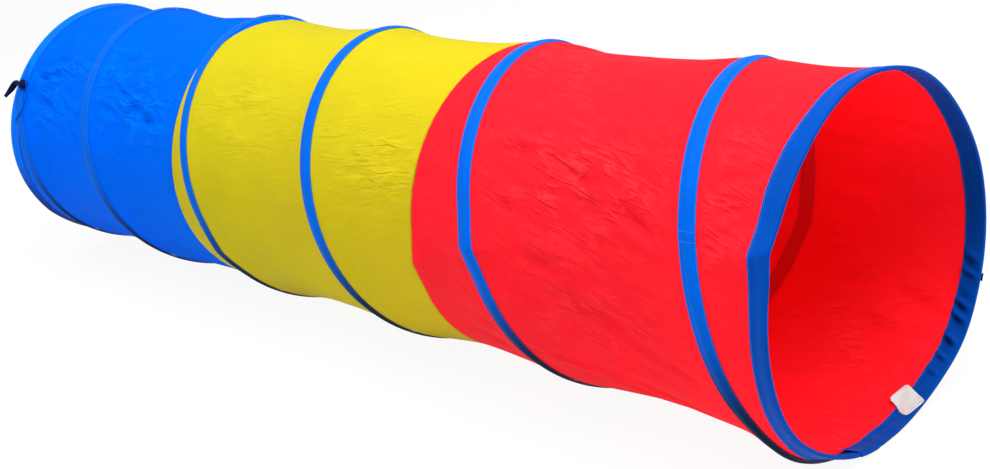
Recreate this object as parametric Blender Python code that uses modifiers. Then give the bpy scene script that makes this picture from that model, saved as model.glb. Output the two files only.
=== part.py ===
"""Pop-up play tunnel: three fabric panels sewn end to end over one spring-wire coil.

The tunnel lies on the floor along X, its mouth at +X. One unbroken wire makes the mouth ring,
the long coil and the far ring. A tape casing sewn on the outside holds the coil, and a folded
binding closes each end over its ring. Angles run from the floor line up the near side (-Y).
Every round piece has its corners at the same angles, so that its facets nest with the others.
"""

import math

import bmesh
import bpy
import numpy as np
from mathutils import Matrix, Vector

for old in list(bpy.data.objects):
    bpy.data.objects.remove(old, do_unlink=True)

# Overall sizes, in metres
tunnel_length = 1.8288
outer_diameter = 0.4826

# Sheet goods
fabric_thickness = 0.0006
tape_thickness = 0.0006
casing_width = 0.025
binding_width = 0.028
seam_allowance = 0.008
fabric_sag = 0.011
clearance = 0.0003

# Spring wire and its crimped sleeves
wire_diameter = 0.0022
strand_gap = 0.0005
sleeve_length = 0.018
sleeve_wall = 0.0004
wire_end_overhang = 0.003

# The coil: turns counted from the floor line at the mouth, and how far along it has run by then
knot_turns = (0, 0.5, 1, 1.5, 2, 2.5, 3, 3.5, 4, 4.5, 5, 5.25, 5.36)
knot_shares = (0, 0.0993, 0.2016, 0.3044, 0.3955, 0.4976, 0.5904, 0.682, 0.7754, 0.8727, 0.946,
               0.972, 1)
ring_blend_turns = 0.25

# Round pieces
facets = 32
arc_facets = 6

# Casing and binding folds
casing_fold = 0.0022
casing_lead = 0.013
binding_taper = 0.003
binding_nose = 0.0009
land_margin = 0.001
free_shares = (0.25, 0.5, 0.75)
sag_growth = 1.5

# Ties and label
tie_width = 0.010
tie_thickness = 0.0012
far_tie_over_edge = 0.013
far_tie_hang = 0.026
far_tie_lift = 0.007
mouth_tie_over_edge = 0.001
mouth_tie_hang = 0
mouth_tie_lift = 0.004
strap_bends = 6
knot_width = 0.014
knot_depth = 0.009
knot_lobe_share = 0.12
far_tie_turn_share = 0.3594
mouth_tie_turn_share = -0.1719
loop_cord_diameter = 0.0025
loop_end_turn_share = 0.298
loop_bulge = 0.030
loop_end_depth = 0.018
loop_points = 15
loop_drop_share = 0.07
label_side = 0.033
label_thickness = 0.0006
label_curl = 0.009
label_flat_share = 0.5
label_columns = 7
label_facet = -1

# Shared values worked out from the sizes above
outer_radius = outer_diameter / 2
axis_height = outer_radius
half_length = tunnel_length / 2
step = 2 * math.pi / facets
wire_radius = wire_diameter / 2
strand_pitch = wire_diameter + strand_gap
sleeve_bore = (wire_radius + clearance) / math.cos(math.pi / 2 / arc_facets)
sleeve_reach = sleeve_bore + sleeve_wall
coil_radius = outer_radius - tape_thickness - clearance - sleeve_reach
fabric_radius = coil_radius - wire_radius - clearance
fabric_middle = fabric_radius - fabric_thickness / 2
nose_depth = tape_thickness + clearance + sleeve_reach
outer_strand_depth = nose_depth
inner_strand_depth = nose_depth + strand_pitch
cloth_depth = inner_strand_depth + sleeve_reach + clearance
taper_depth = cloth_depth + clearance
flange_depth = taper_depth + binding_taper
flange_middle = fabric_radius + clearance + tape_thickness / 2
lining_middle = fabric_radius - fabric_thickness - clearance - tape_thickness / 2
crest_middle = coil_radius + wire_radius + clearance + tape_thickness / 2
last_station = round(knot_turns[-1] * facets - 0.5)
run_length = tunnel_length - 2 * inner_strand_depth
mean_pitch = run_length / knot_turns[-1]
coil_slope = math.atan2(mean_pitch, 2 * math.pi * coil_radius)
casing_reach = casing_width / 2 / math.cos(coil_slope)
casing_end_depth = flange_depth + clearance
coil_land = casing_reach + land_margin
end_land = binding_width + 2 * land_margin
weld = clearance / 10
tiny = clearance / 1000

parts = bpy.data.collections.new("play_tunnel")
cutters = bpy.data.collections.new("cutters")
bpy.context.scene.collection.children.link(parts)
bpy.context.scene.collection.children.link(cutters)


def material(name, colour, roughness, metallic=0.0):
    made = bpy.data.materials.new(name)
    made.use_nodes = True
    shader = made.node_tree.nodes["Principled BSDF"]
    shader.inputs["Base Color"].default_value = (*colour, 1)
    shader.inputs["Roughness"].default_value = roughness
    shader.inputs["Metallic"].default_value = metallic
    made.diffuse_color = (*colour, 1)
    return made


red_fabric = material("red_fabric", (0.92, 0.02, 0.04), 0.6)
yellow_fabric = material("yellow_fabric", (0.76, 0.60, 0.03), 0.6)
blue_fabric = material("blue_fabric", (0.0, 0.15, 0.90), 0.6)
blue_tape = material("blue_tape", (0.0, 0.10, 0.65), 0.7)
spring_steel = material("spring_steel", (0.45, 0.45, 0.46), 0.35, 1.0)
crimp_steel = material("crimp_steel", (0.55, 0.55, 0.56), 0.4, 1.0)
tie_ribbon = material("tie_ribbon", (0.0, 0.02, 0.18), 0.75)
label_cloth = material("label_cloth", (0.85, 0.85, 0.84), 0.8)


def ring_point(x, radius, angle):
    """A point on the faceted ring whose flats lie at this radius."""
    flat = round(angle / step) * step
    reach = radius / math.cos(angle - flat)
    return Vector((x, -reach * math.sin(angle), axis_height - reach * math.cos(angle)))


def station_angle(station):
    return (station + 0.5) * step


def turns_at(station):
    return (station + 0.5) / facets


knot_slopes = np.gradient(np.array(knot_shares, float), np.array(knot_turns, float))


def share_run(turns):
    """The share of its run that the coil has made, carried on evenly before and after its ends."""
    mean_slope = 1 / knot_turns[-1]
    if turns <= knot_turns[0]:
        return mean_slope * (turns - knot_turns[0])
    if turns >= knot_turns[-1]:
        return 1 + mean_slope * (turns - knot_turns[-1])
    k = max(i for i, knot in enumerate(knot_turns) if knot <= turns)
    span = knot_turns[k + 1] - knot_turns[k]
    s = (turns - knot_turns[k]) / span
    start = (1 + 2 * s) * (1 - s) ** 2 * knot_shares[k] + s * (1 - s) ** 2 * span * knot_slopes[k]
    end = (3 - 2 * s) * s**2 * knot_shares[k + 1] - (1 - s) * s**2 * span * knot_slopes[k + 1]
    return start + end


def coil_x(turns):
    return half_length - inner_strand_depth - run_length * share_run(turns)


def smooth(s):
    s = min(1, max(0, s))
    return s * s * (3 - 2 * s)


def wire_x(station):
    """Where the wire lies along the tunnel: mouth ring, coil, far ring."""
    turns = turns_at(station)
    if station <= 0:
        back = smooth((-turns - 1 / facets) / ring_blend_turns)
        return half_length - inner_strand_depth + strand_pitch * back
    if station >= last_station:
        on = smooth((turns - turns_at(last_station + 1)) / ring_blend_turns)
        return -half_length + inner_strand_depth - strand_pitch * on
    return coil_x(turns)


def link(obj, collection=parts):
    collection.objects.link(obj)
    return obj


def mesh_object(name, bm, finish, collection=parts):
    mesh = bpy.data.meshes.new(name)
    bm.to_mesh(mesh)
    bm.free()
    if finish is not None:
        mesh.materials.append(finish)
    return link(bpy.data.objects.new(name, mesh), collection)


def thicken(obj, thickness):
    shell = obj.modifiers.new("thickness", "SOLIDIFY")
    shell.thickness = thickness
    shell.offset = 0
    shell.use_even_offset = True
    return obj


def mapped_grid(columns, rows, place):
    """A grid of columns by rows points, each moved to place(column, row)."""
    bm = bmesh.new()
    bmesh.ops.create_grid(bm, x_segments=columns - 1, y_segments=rows - 1, size=1)
    for v in bm.verts:
        column = round((v.co.x + 1) / 2 * (columns - 1))
        row = round((v.co.y + 1) / 2 * (rows - 1))
        v.co = place(column, row)
    return bm


def cut(bm, x, keep_low=None):
    """Cuts the mesh at a plane across the tunnel, and drops one side where keep_low says which."""
    bmesh.ops.bisect_plane(
        bm, geom=bm.verts[:] + bm.edges[:] + bm.faces[:], dist=tiny,
        plane_co=(x, 0, 0), plane_no=(1, 0, 0),
        clear_outer=keep_low is True, clear_inner=keep_low is False,
    )


# Fabric panels

def sag_at(x, angle):
    """How far the cloth is drawn in at this place, between the tapes and bindings that hold it out."""
    turn = angle / (2 * math.pi) % 1
    holds = [(half_length, end_land), (-half_length, end_land)]
    for k in range(math.ceil(knot_turns[-1]) + 1):
        if turn + k <= turns_at(last_station):
            holds.append((coil_x(turn + k), coil_land))
    if any(abs(x - centre) <= land + tiny for centre, land in holds):
        return 0
    top = min(centre - land for centre, land in holds if centre > x)
    bottom = max(centre + land for centre, land in holds if centre < x)
    if not bottom < x < top:
        return 0
    u = (x - bottom) / (top - bottom)
    grown = min(1, (top - bottom) / (mean_pitch - 2 * coil_land)) ** sag_growth
    return fabric_sag * grown * 4 * u * (1 - u)


def skin_point(column, row):
    station = column - facets - 1
    turns = turns_at(station)
    start, end = coil_x(turns), coil_x(turns + 1)
    high, low = start - coil_land, end + coil_land
    if row == 0:
        x = start + coil_land
    elif row == 1:
        x = high
    elif row == len(free_shares) + 2:
        x = low
    else:
        x = high + (low - high) * free_shares[row - 2]
    return ring_point(x, fabric_middle, station_angle(station))


def draw_in(v, depth):
    """Moves a vertex towards the tunnel's axis."""
    reach = math.hypot(v.co.y, v.co.z - axis_height)
    v.co.y *= 1 - depth / reach
    v.co.z = axis_height + (v.co.z - axis_height) * (1 - depth / reach)


def fabric_panel(name, low, high, finish):
    """Cloth from low to high along the tunnel, its sewn edges turned in."""
    bm = mapped_grid(last_station + facets + 3, len(free_shares) + 3, skin_point)
    bmesh.ops.remove_doubles(bm, verts=bm.verts[:], dist=weld)
    seam_inset = (fabric_thickness + clearance) / 2
    sewn = []
    for end, x in ((low, low + seam_inset), (high, high - seam_inset)):
        if abs(end) < half_length - tiny:
            sewn.append(x)
        else:
            x = math.copysign(half_length - cloth_depth, end)
        cut(bm, x, keep_low=end == high)
    for x in (half_length - end_land, end_land - half_length):
        if low + seam_inset < x < high - seam_inset:
            cut(bm, x)
    bmesh.ops.dissolve_degenerate(bm, edges=bm.edges[:], dist=clearance)
    for v in bm.verts:
        draw_in(v, sag_at(v.co.x, math.atan2(-v.co.y, axis_height - v.co.z)))
    for x in sewn:
        edges = [e for e in bm.edges if e.is_boundary and all(abs(v.co.x - x) < tiny for v in e.verts)]
        turned = bmesh.ops.extrude_edge_only(bm, edges=edges)["geom"]
        for v in turned:
            if isinstance(v, bmesh.types.BMVert):
                draw_in(v, seam_allowance)
    bmesh.ops.recalc_face_normals(bm, faces=bm.faces[:])
    panel = thicken(mesh_object(name, bm, finish), fabric_thickness)
    panel.data.shade_smooth()
    panel.data.set_sharp_from_angle(angle=math.radians(40))
    return panel


panels = (("red_panel", red_fabric), ("yellow_panel", yellow_fabric), ("blue_panel", blue_fabric))
seams = [half_length - tunnel_length * k / len(panels) for k in range(len(panels) + 1)]
for (name, finish), high, low in zip(panels, seams, seams[1:]):
    fabric_panel(name, low, high, finish)


# Spring wire: mouth ring, coil and far ring in one length

def poly_tube(name, points, radius, resolution, finish):
    curve = bpy.data.curves.new(name, "CURVE")
    curve.dimensions = "3D"
    curve.bevel_depth = radius
    curve.bevel_resolution = resolution
    curve.use_fill_caps = True
    spline = curve.splines.new("POLY")
    spline.points.add(len(points) - 1)
    for point, place in zip(spline.points, points):
        point.co = (*place, 1)
    if finish is not None:
        curve.materials.append(finish)
    return bpy.data.objects.new(name, curve)


def wire_point(station):
    return ring_point(wire_x(station), coil_radius, station_angle(station))


def chord_end(station, x, side):
    """The free end of a strand in the sleeve between this station and the next."""
    angle = (station + 1) * step
    reach = sleeve_length / 2 + wire_end_overhang
    along = Vector((0, -math.cos(angle), math.sin(angle)))
    return ring_point(x, coil_radius, angle) + along * reach * side


first_tail = -facets - 1
last_tail = last_station + facets
wire_points = [chord_end(first_tail, wire_x(first_tail), -1)]
wire_points += [wire_point(s) for s in range(first_tail + 1, last_tail + 1)]
wire_points += [chord_end(last_tail, wire_x(last_tail + 1), 1)]
link(poly_tube("coil_wire", wire_points, wire_radius, 1, spring_steel))


def least_gap(points, radius):
    """The least distance between strands that aren't neighbours along the wire, less the wire."""
    fine = []
    per_chord = 8
    for a, b in zip(points, points[1:]):
        fine += [a.lerp(b, k / per_chord) for k in range(per_chord)]
    fine = np.array([tuple(p) for p in fine + [points[-1]]])
    apart = facets * per_chord // 2
    least = math.inf
    for i in range(len(fine) - apart):
        least = min(least, float(np.linalg.norm(fine[i + apart:] - fine[i], axis=1).min()))
    return least - 2 * radius


print(f"least gap of the wire to itself: {least_gap(wire_points, wire_radius):.5f} m")


# Crimped sleeves over the two strands at each end of the wire

def obround(reach, half_gap):
    """Points round a slot shape: two half circles of this reach, their centres half_gap off."""
    found = []
    for side in (1, -1):
        for k in range(arc_facets + 1):
            turn = math.pi * (k / arc_facets - 0.5)
            found.append((side * (half_gap + reach * math.cos(turn)), side * reach * math.sin(turn)))
    return found


def sleeve(name, x, facet):
    curve = bpy.data.curves.new(name, "CURVE")
    curve.dimensions = "2D"
    curve.fill_mode = "BOTH"
    curve.extrude = sleeve_length / 2
    curve.materials.append(crimp_steel)
    for reach in (sleeve_reach, sleeve_bore):
        outline = obround(reach, strand_pitch / 2)
        spline = curve.splines.new("POLY")
        spline.points.add(len(outline) - 1)
        for point, (u, v) in zip(spline.points, outline):
            point.co = (u, v, 0, 1)
        spline.use_cyclic_u = True
    made = link(bpy.data.objects.new(name, curve))
    angle = facet * step
    out = Vector((0, -math.sin(angle), -math.cos(angle)))
    across = Vector((1, 0, 0))
    frame = Matrix((across, out, across.cross(out))).transposed().to_4x4()
    made.matrix_world = Matrix.Translation(ring_point(x, coil_radius, angle)) @ frame
    return made


sleeve_depth = (outer_strand_depth + inner_strand_depth) / 2
sleeve("mouth_crimp_sleeve", half_length - sleeve_depth, 0)
sleeve("far_crimp_sleeve", sleeve_depth - half_length, last_station + 1)


# Casing tape over the coil

casing_profile = [
    (casing_reach, 0),
    (wire_radius + casing_fold, 0),
    (wire_radius, 1),
    (-wire_radius, 1),
    (-wire_radius - casing_fold, 0),
    (-casing_reach, 0),
]


def casing_point(column, row):
    station = column - 1
    offset, on_crest = casing_profile[row]
    x = wire_x(max(0, min(last_station, station))) + offset
    radius = crest_middle if on_crest else flange_middle
    if not on_crest and half_length - abs(x) < binding_width + casing_lead:
        radius += tape_thickness + clearance
    return ring_point(x, radius, station_angle(station))


casing = mapped_grid(last_station + 3, len(casing_profile), casing_point)
cut(casing, half_length - casing_end_depth, keep_low=True)
cut(casing, casing_end_depth - half_length, keep_low=False)
bmesh.ops.dissolve_degenerate(casing, edges=casing.edges[:], dist=clearance)
bmesh.ops.recalc_face_normals(casing, faces=casing.faces[:])
thicken(mesh_object("coil_casing", casing, blue_tape), tape_thickness)


# Folded bindings over the end rings

binding_profile = [
    (flange_middle, binding_width),
    (flange_middle, flange_depth),
    (outer_radius - tape_thickness / 2, taper_depth),
    (outer_radius - tape_thickness / 2, tape_thickness / 2 + binding_nose),
    (outer_radius - tape_thickness / 2 - binding_nose, tape_thickness / 2),
    (lining_middle + binding_nose, tape_thickness / 2),
    (lining_middle, tape_thickness / 2 + binding_nose),
    (lining_middle, binding_width),
]


def binding(name, end):
    bm = bmesh.new()
    row = [bm.verts.new((radius / math.cos(step / 2), 0, depth)) for radius, depth in binding_profile]
    for a, b in zip(row, row[1:]):
        bm.edges.new((a, b))
    made = mesh_object(name, bm, blue_tape)
    turn = made.modifiers.new("turn", "SCREW")
    turn.axis = "Z"
    turn.angle = 2 * math.pi
    turn.steps = turn.render_steps = facets
    turn.use_merge_vertices = True
    turn.merge_threshold = weld
    turn.use_normal_calculate = True
    thicken(made, tape_thickness)
    inward = Vector((-end, 0, 0))
    across = Vector((0, math.sin(step / 2), math.cos(step / 2)))
    frame = Matrix((across, inward.cross(across), inward)).transposed().to_4x4()
    made.matrix_world = Matrix.Translation((end * half_length, 0, axis_height)) @ frame
    return made


def wire_slot(name, stations, owner):
    """Lets the wire out of a binding, under the casing tape."""
    slot_radius = (wire_radius + clearance) / math.cos(math.pi / 6)
    tube = link(poly_tube(name, [wire_point(s) for s in stations], slot_radius, 1, None), cutters)
    bpy.context.view_layer.update()
    mesh = bpy.data.meshes.new_from_object(tube.evaluated_get(bpy.context.evaluated_depsgraph_get()))
    bpy.data.objects.remove(tube)
    bm = bmesh.new()
    bm.from_mesh(mesh)
    bmesh.ops.remove_doubles(bm, verts=bm.verts[:], dist=weld)
    bmesh.ops.recalc_face_normals(bm, faces=bm.faces[:])
    bm.to_mesh(mesh)
    bm.free()
    cutter = link(bpy.data.objects.new(name, mesh), cutters)
    cutter.hide_render = True
    cutter.display_type = "WIRE"
    slot = owner.modifiers.new("wire slot", "BOOLEAN")
    slot.operation = "DIFFERENCE"
    slot.object = cutter


exit_stations = math.ceil((binding_width + wire_diameter) / (mean_pitch / facets)) + 1
mouth_binding = binding("mouth_binding", 1)
far_binding = binding("far_binding", -1)
wire_slot("mouth_wire_slot", range(0, exit_stations + 1), mouth_binding)
wire_slot("far_wire_slot", range(last_station - exit_stations, last_station + 1), far_binding)


# Ties that hold the tunnel shut when it is pressed flat

tie_rise = clearance + tie_thickness / 2
tie_seat = flange_middle + tape_thickness / 2 + tape_thickness + clearance
knot_reach = knot_width / 2 * (1 + knot_lobe_share)
knot_height = flange_middle + tape_thickness / 2 + clearance + knot_depth / 2


def surface_frame(angle):
    """Unit vectors at this angle: out from the axis, and up the side."""
    out = Vector((0, -math.sin(angle), -math.cos(angle)))
    up = Vector((0, -math.cos(angle), math.sin(angle)))
    return out, up


def ribbon(name, path, out):
    """A tie tape along these points, its flat side towards out."""
    ahead = [path[min(i + 1, len(path) - 1)] - path[max(i - 1, 0)] for i in range(len(path))]
    across = [step_on.cross(out).normalized() for step_on in ahead]
    bm = mapped_grid(len(path), 2, lambda i, j: path[i] + across[i] * (tie_width * (j - 0.5)))
    bmesh.ops.recalc_face_normals(bm, faces=bm.faces[:])
    return thicken(mesh_object(name, bm, tie_ribbon), tie_thickness)


def knot(name, centre, out, up):
    bm = bmesh.new()
    bmesh.ops.create_uvsphere(bm, u_segments=12, v_segments=8, radius=1)
    frame = Matrix((Vector((1, 0, 0)), up, out)).transposed()
    for v in bm.verts:
        lobe = 1 + knot_lobe_share * math.cos(3 * math.atan2(v.co.y, v.co.x)) * (1 - v.co.z**2)
        size = Vector((knot_width / 2 * lobe * v.co.x, knot_width / 2 * lobe * v.co.y,
                       knot_depth / 2 * v.co.z))
        v.co = centre + frame @ size
    bmesh.ops.recalc_face_normals(bm, faces=bm.faces[:])
    return mesh_object(name, bm, tie_ribbon)


def strap_path(end, angle, over, hang, lift):
    """From the knot over the ring's edge, then down along the ring."""
    out, up = surface_frame(angle)
    inward = Vector((-end, 0, 0))
    edge = ring_point(end * half_length, outer_radius + tie_rise, angle)
    start = ring_point(end * half_length, knot_height, angle)
    start += inward * (binding_width - knot_reach - clearance)
    crown = edge - inward * over
    tip = crown - up * hang + out * lift
    bends = [k / strap_bends for k in range(1, strap_bends + 1)]
    fall = [edge.lerp(crown, s).lerp(crown.lerp(tip, s), s) for s in bends]
    return [start, edge + inward * taper_depth, edge] + fall


for place, end, turn_share, over, hang, lift in (
    ("far", -1, far_tie_turn_share, far_tie_over_edge, far_tie_hang, far_tie_lift),
    ("mouth", 1, mouth_tie_turn_share, mouth_tie_over_edge, mouth_tie_hang, mouth_tie_lift),
):
    angle = 2 * math.pi * turn_share
    out, up = surface_frame(angle)
    knot(f"{place}_tie_knot", ring_point(end * (half_length - binding_width), knot_height, angle), out, up)
    ribbon(f"{place}_tie_strap", strap_path(end, angle, over, hang, lift), out)


def loop_point(s):
    """The closing loop: a cord from the far knot, bowed over the cloth and back to the binding."""
    cord_radius = loop_cord_diameter / 2
    knot_turn = far_tie_turn_share - (knot_reach + clearance + cord_radius) / (2 * math.pi * outer_radius)
    angle = 2 * math.pi * (knot_turn + (loop_end_turn_share - knot_turn) * s)
    depth = binding_width + (loop_end_depth - binding_width) * s + loop_bulge * 4 * s * (1 - s)
    high = crest_middle + tape_thickness / 2 + clearance + cord_radius
    low = tie_seat + clearance + cord_radius
    radius = high + (low - high) * smooth((s - 1 + loop_drop_share) / loop_drop_share)
    return ring_point(depth - half_length, radius, angle)


loop_path = [loop_point(k / (loop_points - 1)) for k in range(loop_points)]
link(poly_tube("far_tie_loop", loop_path, loop_cord_diameter / 2, 2, blue_tape))


# Blank care label on the lining side of the mouth binding

label_angle = label_facet * step
label_out, label_up = surface_frame(label_angle)
label_radius = lining_middle - tape_thickness / 2 - clearance - label_thickness / 2


def label_point(i, j):
    """The tag lies on the lining at its sewn edge and curls up at its free edge."""
    run = i / (label_columns - 1)
    x = half_length - tape_thickness - clearance - label_side * run
    curl = label_curl * (max(0, run - label_flat_share) / (1 - label_flat_share)) ** 2
    flat = ring_point(x, label_radius, label_angle) - label_out * curl
    return flat + label_up * (label_side * (j - 0.5))


label = mapped_grid(label_columns, 2, label_point)
bmesh.ops.recalc_face_normals(label, faces=label.faces[:])
thicken(mesh_object("care_label", label, label_cloth), label_thickness)
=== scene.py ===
"""Pop-up play tunnel: cloth panels, tapes, spring wire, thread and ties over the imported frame.

Places are worked out on the straight tunnel as x, radius and angle. The angle runs from the floor
line up the near side (-Y). place() then puts them where the tunnel stands: a little bowed along its
length, its two end rings slightly out of round, and pulled out where the wire has a bend.
"""

import math

import bmesh
import bpy
import numpy as np
from bpy.props import FloatProperty, FloatVectorProperty, IntProperty, PointerProperty
from bpy.types import Operator, Panel, PropertyGroup
from mathutils import Matrix, Vector


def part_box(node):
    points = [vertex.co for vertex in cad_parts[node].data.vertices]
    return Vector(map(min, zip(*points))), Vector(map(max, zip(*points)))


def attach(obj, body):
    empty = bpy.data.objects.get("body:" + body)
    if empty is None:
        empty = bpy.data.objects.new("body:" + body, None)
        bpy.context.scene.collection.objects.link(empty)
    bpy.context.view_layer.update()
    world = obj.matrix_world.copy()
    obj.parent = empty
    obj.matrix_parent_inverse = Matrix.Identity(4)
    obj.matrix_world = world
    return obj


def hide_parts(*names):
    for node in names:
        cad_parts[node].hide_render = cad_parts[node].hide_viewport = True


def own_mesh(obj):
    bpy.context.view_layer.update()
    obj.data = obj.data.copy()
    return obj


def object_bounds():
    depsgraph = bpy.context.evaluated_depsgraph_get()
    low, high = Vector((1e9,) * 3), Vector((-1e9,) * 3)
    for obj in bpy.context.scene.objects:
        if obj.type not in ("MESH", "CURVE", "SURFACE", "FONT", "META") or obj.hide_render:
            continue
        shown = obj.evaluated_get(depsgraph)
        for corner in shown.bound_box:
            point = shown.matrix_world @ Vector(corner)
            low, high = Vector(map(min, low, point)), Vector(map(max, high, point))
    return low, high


bl_info = {
    "name": "Pop-up Play Tunnel",
    "version": (1, 0, 0),
    "blender": (4, 5, 0),
    "location": "3D View > Sidebar > Play Tunnel",
    "description": "Sews the cloth, tapes, ties and label of a pop-up play tunnel over its spring wire",
    "category": "Object",
}

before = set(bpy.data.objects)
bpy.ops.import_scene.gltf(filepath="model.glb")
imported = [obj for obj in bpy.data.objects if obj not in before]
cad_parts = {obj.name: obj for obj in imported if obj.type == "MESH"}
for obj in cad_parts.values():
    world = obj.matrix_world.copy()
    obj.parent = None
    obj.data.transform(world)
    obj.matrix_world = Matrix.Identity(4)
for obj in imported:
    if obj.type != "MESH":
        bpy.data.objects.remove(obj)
cad_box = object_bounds()

# The straight tunnel, in metres
ring_low, ring_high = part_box("mouth_binding")
half_length = ring_high[0]
tunnel_length = 2 * half_length
outer_radius = (ring_high[2] - ring_low[2]) / 2
axis_height = (ring_high[2] + ring_low[2]) / 2
panel_names = ("red_panel", "yellow_panel", "blue_panel")
seams = [half_length - tunnel_length * k / len(panel_names) for k in range(len(panel_names) + 1)]
panel_edges = {name: (low, high) for name, high, low in zip(panel_names, seams, seams[1:])}

# Layers: thickness of the tape, the gap to the next layer, and radii from the outside in
tape_thickness = 0.0006
layer_gap = 0.0003
layer_step = tape_thickness + layer_gap
crest_radius = outer_radius - 0.0010494
coil_radius = crest_radius - 0.0017
flange_radius = crest_radius - 0.0025
cloth_radius = flange_radius - layer_step
lining_radius = cloth_radius - layer_step
coil_girth = 2 * math.pi * coil_radius
cloth_girth = 2 * math.pi * cloth_radius
# The least way by which thread and folds stand clear of what they lie on
skin = 0.0001

# Depths from the tunnel's ends: each ring's two strands of wire, the cloth and the casing
outer_strand_depth = 0.0027494
inner_strand_depth = outer_strand_depth + 0.0027
cloth_depth = 0.0075988
casing_end_depth = cloth_depth + 0.0036
# Turns by which a ring's wire leaves its flat part, and over which it passes to the outer strand
facet_turn = 1 / 32
strand_shift = 0.25
# How far the wire's ends overlap inside their sleeves
wire_lap = 0.012
# Sleeves: the side of the tunnel, and the angle round it; length, radius, half the way between the two
# strands, wall, and where each is pinched
sleeves = (("mouth", 1, 0), ("far", -1, math.radians(135)))
sleeve_length, sleeve_radius, sleeve_spread, sleeve_wall = 0.018, 0.00165, 0.00135, 0.0004
pinches = (-0.0045, 0, 0.0045)

# A seam between panels: half its gap, the cloth turned in, as way along and depth, and its overlock's depth
seam_half_gap = 0.00045
turned_edge = ((0, 0.008), (0, 0.0055), (0, 0.003), (0, 0.0013), (0.0004, 0.0004), (0.0013, 0), (0.0032, 0))
seam_allowance = turned_edge[0][1]
overlock_depth = 0.0064
# Corners of a panel's mesh, round it and across it; of the wire's, in a turn of the coil and round it; and
# of the casing's, in a turn of the coil
panel_columns, panel_rows = 335, 146
wire_steps, wire_sides = 72, 12
casing_steps = 190
# The lap under a panel's side seam: the cloth it takes, how far it stops short, its mesh, its fold, its
# place on the flat cloth, and its rows of stitches: way off the middle, way from seams and from the rings
lap_inset = 0.010
lap_columns, lap_rows, lap_step = 151, 5, 0.0024
lap_fold = 0.00045
lap_flat = 1.6
side_row_shift = 0.003
row_inset = 0.012
binding_clearance = 0.032

# Way from the tapes over which the slack, the sharp creases and the wrinkles grow to their full amount
slack_reach, sharp_reach, wrinkle_reach = 0.035, 0.014, 0.016
# Puckers beside the tapes: height, reach and where they start; beside the seams: height and reach
tape_puckers = (0.0011, 0.011, 0.003)
seam_puckers = (0.0010, 0.010)
# The groove at a seam: depth and half width; and the height of the cloth's slow waves
seam_groove = (0.0011, 0.0016)
wide_wave = 0.0011

# Stitches of the long rows: width, height and spacing as a multiple of their length
stitch_width, stitch_height, stitch_spacing = 0.0006, 0.0005, 1.28
# The other stitches: how far apart, then length, width and height; and how far the zigzag ones lean
joint_stitches = (0.0030, (0.0030, 0.0008, 0.0006))
overlock_stitches = (0.0042, (0.0040, 0.0005, 0.0004))
zigzag_stitches = (0.0021, (0.0030, 0.0005, 0.0004))
label_stitches = (0.0036, (0.0028, 0.0006, 0.0005))
zigzag_lean = 0.9
# Where rows run: off the casing's middle line, and in from the binding's edge
casing_row = 0.0109
binding_row = 0.0026
# The casing tape: turns that its mesh runs past the coil, its joint and the rows across that in turns,
# and its mesh's lines from edge to edge
casing_overrun = 0.04
tape_joint = (0.3170, 0.3300)
joint_rows = (0.3178, 0.3262)
casing_rows = np.array((-12.5, -12.2, -11.8, -11.0, -9.4, -7.6, -6.0, -4.8, -3.8, -2.9, -2.0, -1.2, -0.5,
                        0.5, 1.2, 2.0, 2.9, 3.8, 4.8, 6.0, 7.6, 9.4, 11.0, 11.8, 12.2, 12.5)) / 1000

# The coil: turns counted from the floor line at the mouth, and the share of its run made by then
coil_turns = np.array((0, 0.5, 1, 1.5, 2, 2.5, 3, 3.5, 4, 4.5, 5, 5.25, 5.36))
coil_shares = np.array((0, 0.0993, 0.2016, 0.3044, 0.3955, 0.4976, 0.5904, 0.682, 0.7754, 0.8727,
                        0.946, 0.972, 1))
coil_slopes = np.gradient(coil_shares, coil_turns)
run_length = tunnel_length - 2 * inner_strand_depth
mean_pitch = run_length / coil_turns[-1]
coil_slope = math.atan2(mean_pitch, coil_girth)
turn_length = math.hypot(mean_pitch, coil_girth)

# How the tunnel stands: bow along its length, and cosine and sine amounts of each end ring's lobes
bow = (0.01595, 0.00354)
mouth_lobes = ((0.00521, -0.00109), (0.00098, 0.00405), (-0.0053, 0.00133), (-0.00105, 0.0011))
far_lobes = ((0.0102, -0.00742), (-0.00558, -0.00561), (-0.00461, -0.00198))
ring_fade = 0.30

# How sharply the wire's bends come to a point
kink_sharpness = 1.4
# Bends of the wire: turns along the coil, pull outwards, half width in turns, reach along the tunnel
wire_kinks = ((1.278, 0.0085, 0.034, 0.035), (3.19, 0.005, 0.04, 0.035), (0.80, 0.007, 0.034, 0.03))
# and of the end rings and seams: place, turns round, pull, half width, reach, lean in turns a metre
edge_kinks = ((half_length - 0.025, 0.3155, 0.0105, 0.028, 0.040, 0.17),
              (seams[1], 0.245, 0.007, 0.033, 0.05, 0), (-half_length, 0.16, 0.001, 0.03, 0.05, 0))
# Gentle swells: place along the tunnel, turns round it, push outwards, width in turns, reach
swells = ((half_length, -0.117, 0.0048, 0.035, 0.05), (half_length, -0.285, 0.0032, 0.05, 0.06),
          (half_length, 0.403, -0.0028, 0.045, 0.04), (half_length, -0.455, -0.0022, 0.03, 0.05),
          (half_length, 0.098, -0.0065, 0.045, 0.020), (half_length - 0.050, 0.090, 0.0120, 0.045, 0.032),
          (0.62, 0.80, 0.0040, 0.09, 0.09))
# Seams that were sewn a little off square: place, turns round the tunnel, shift along it, width, reach
seam_shifts = ((seams[2], 0.27, -0.0080, 0.13, 0.08), (seams[2], 0.405, -0.0070, 0.035, 0.05))
# and where the casing tape was folded narrower: turns along the coil, share less, half width in turns
narrow_tape = ((3.37, 0.21, 0.15),)
# Where one turn leans towards the mouth on the far side: turns, half width, distance
turn_lean = (0.85, 0.17, 0.013)

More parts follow.
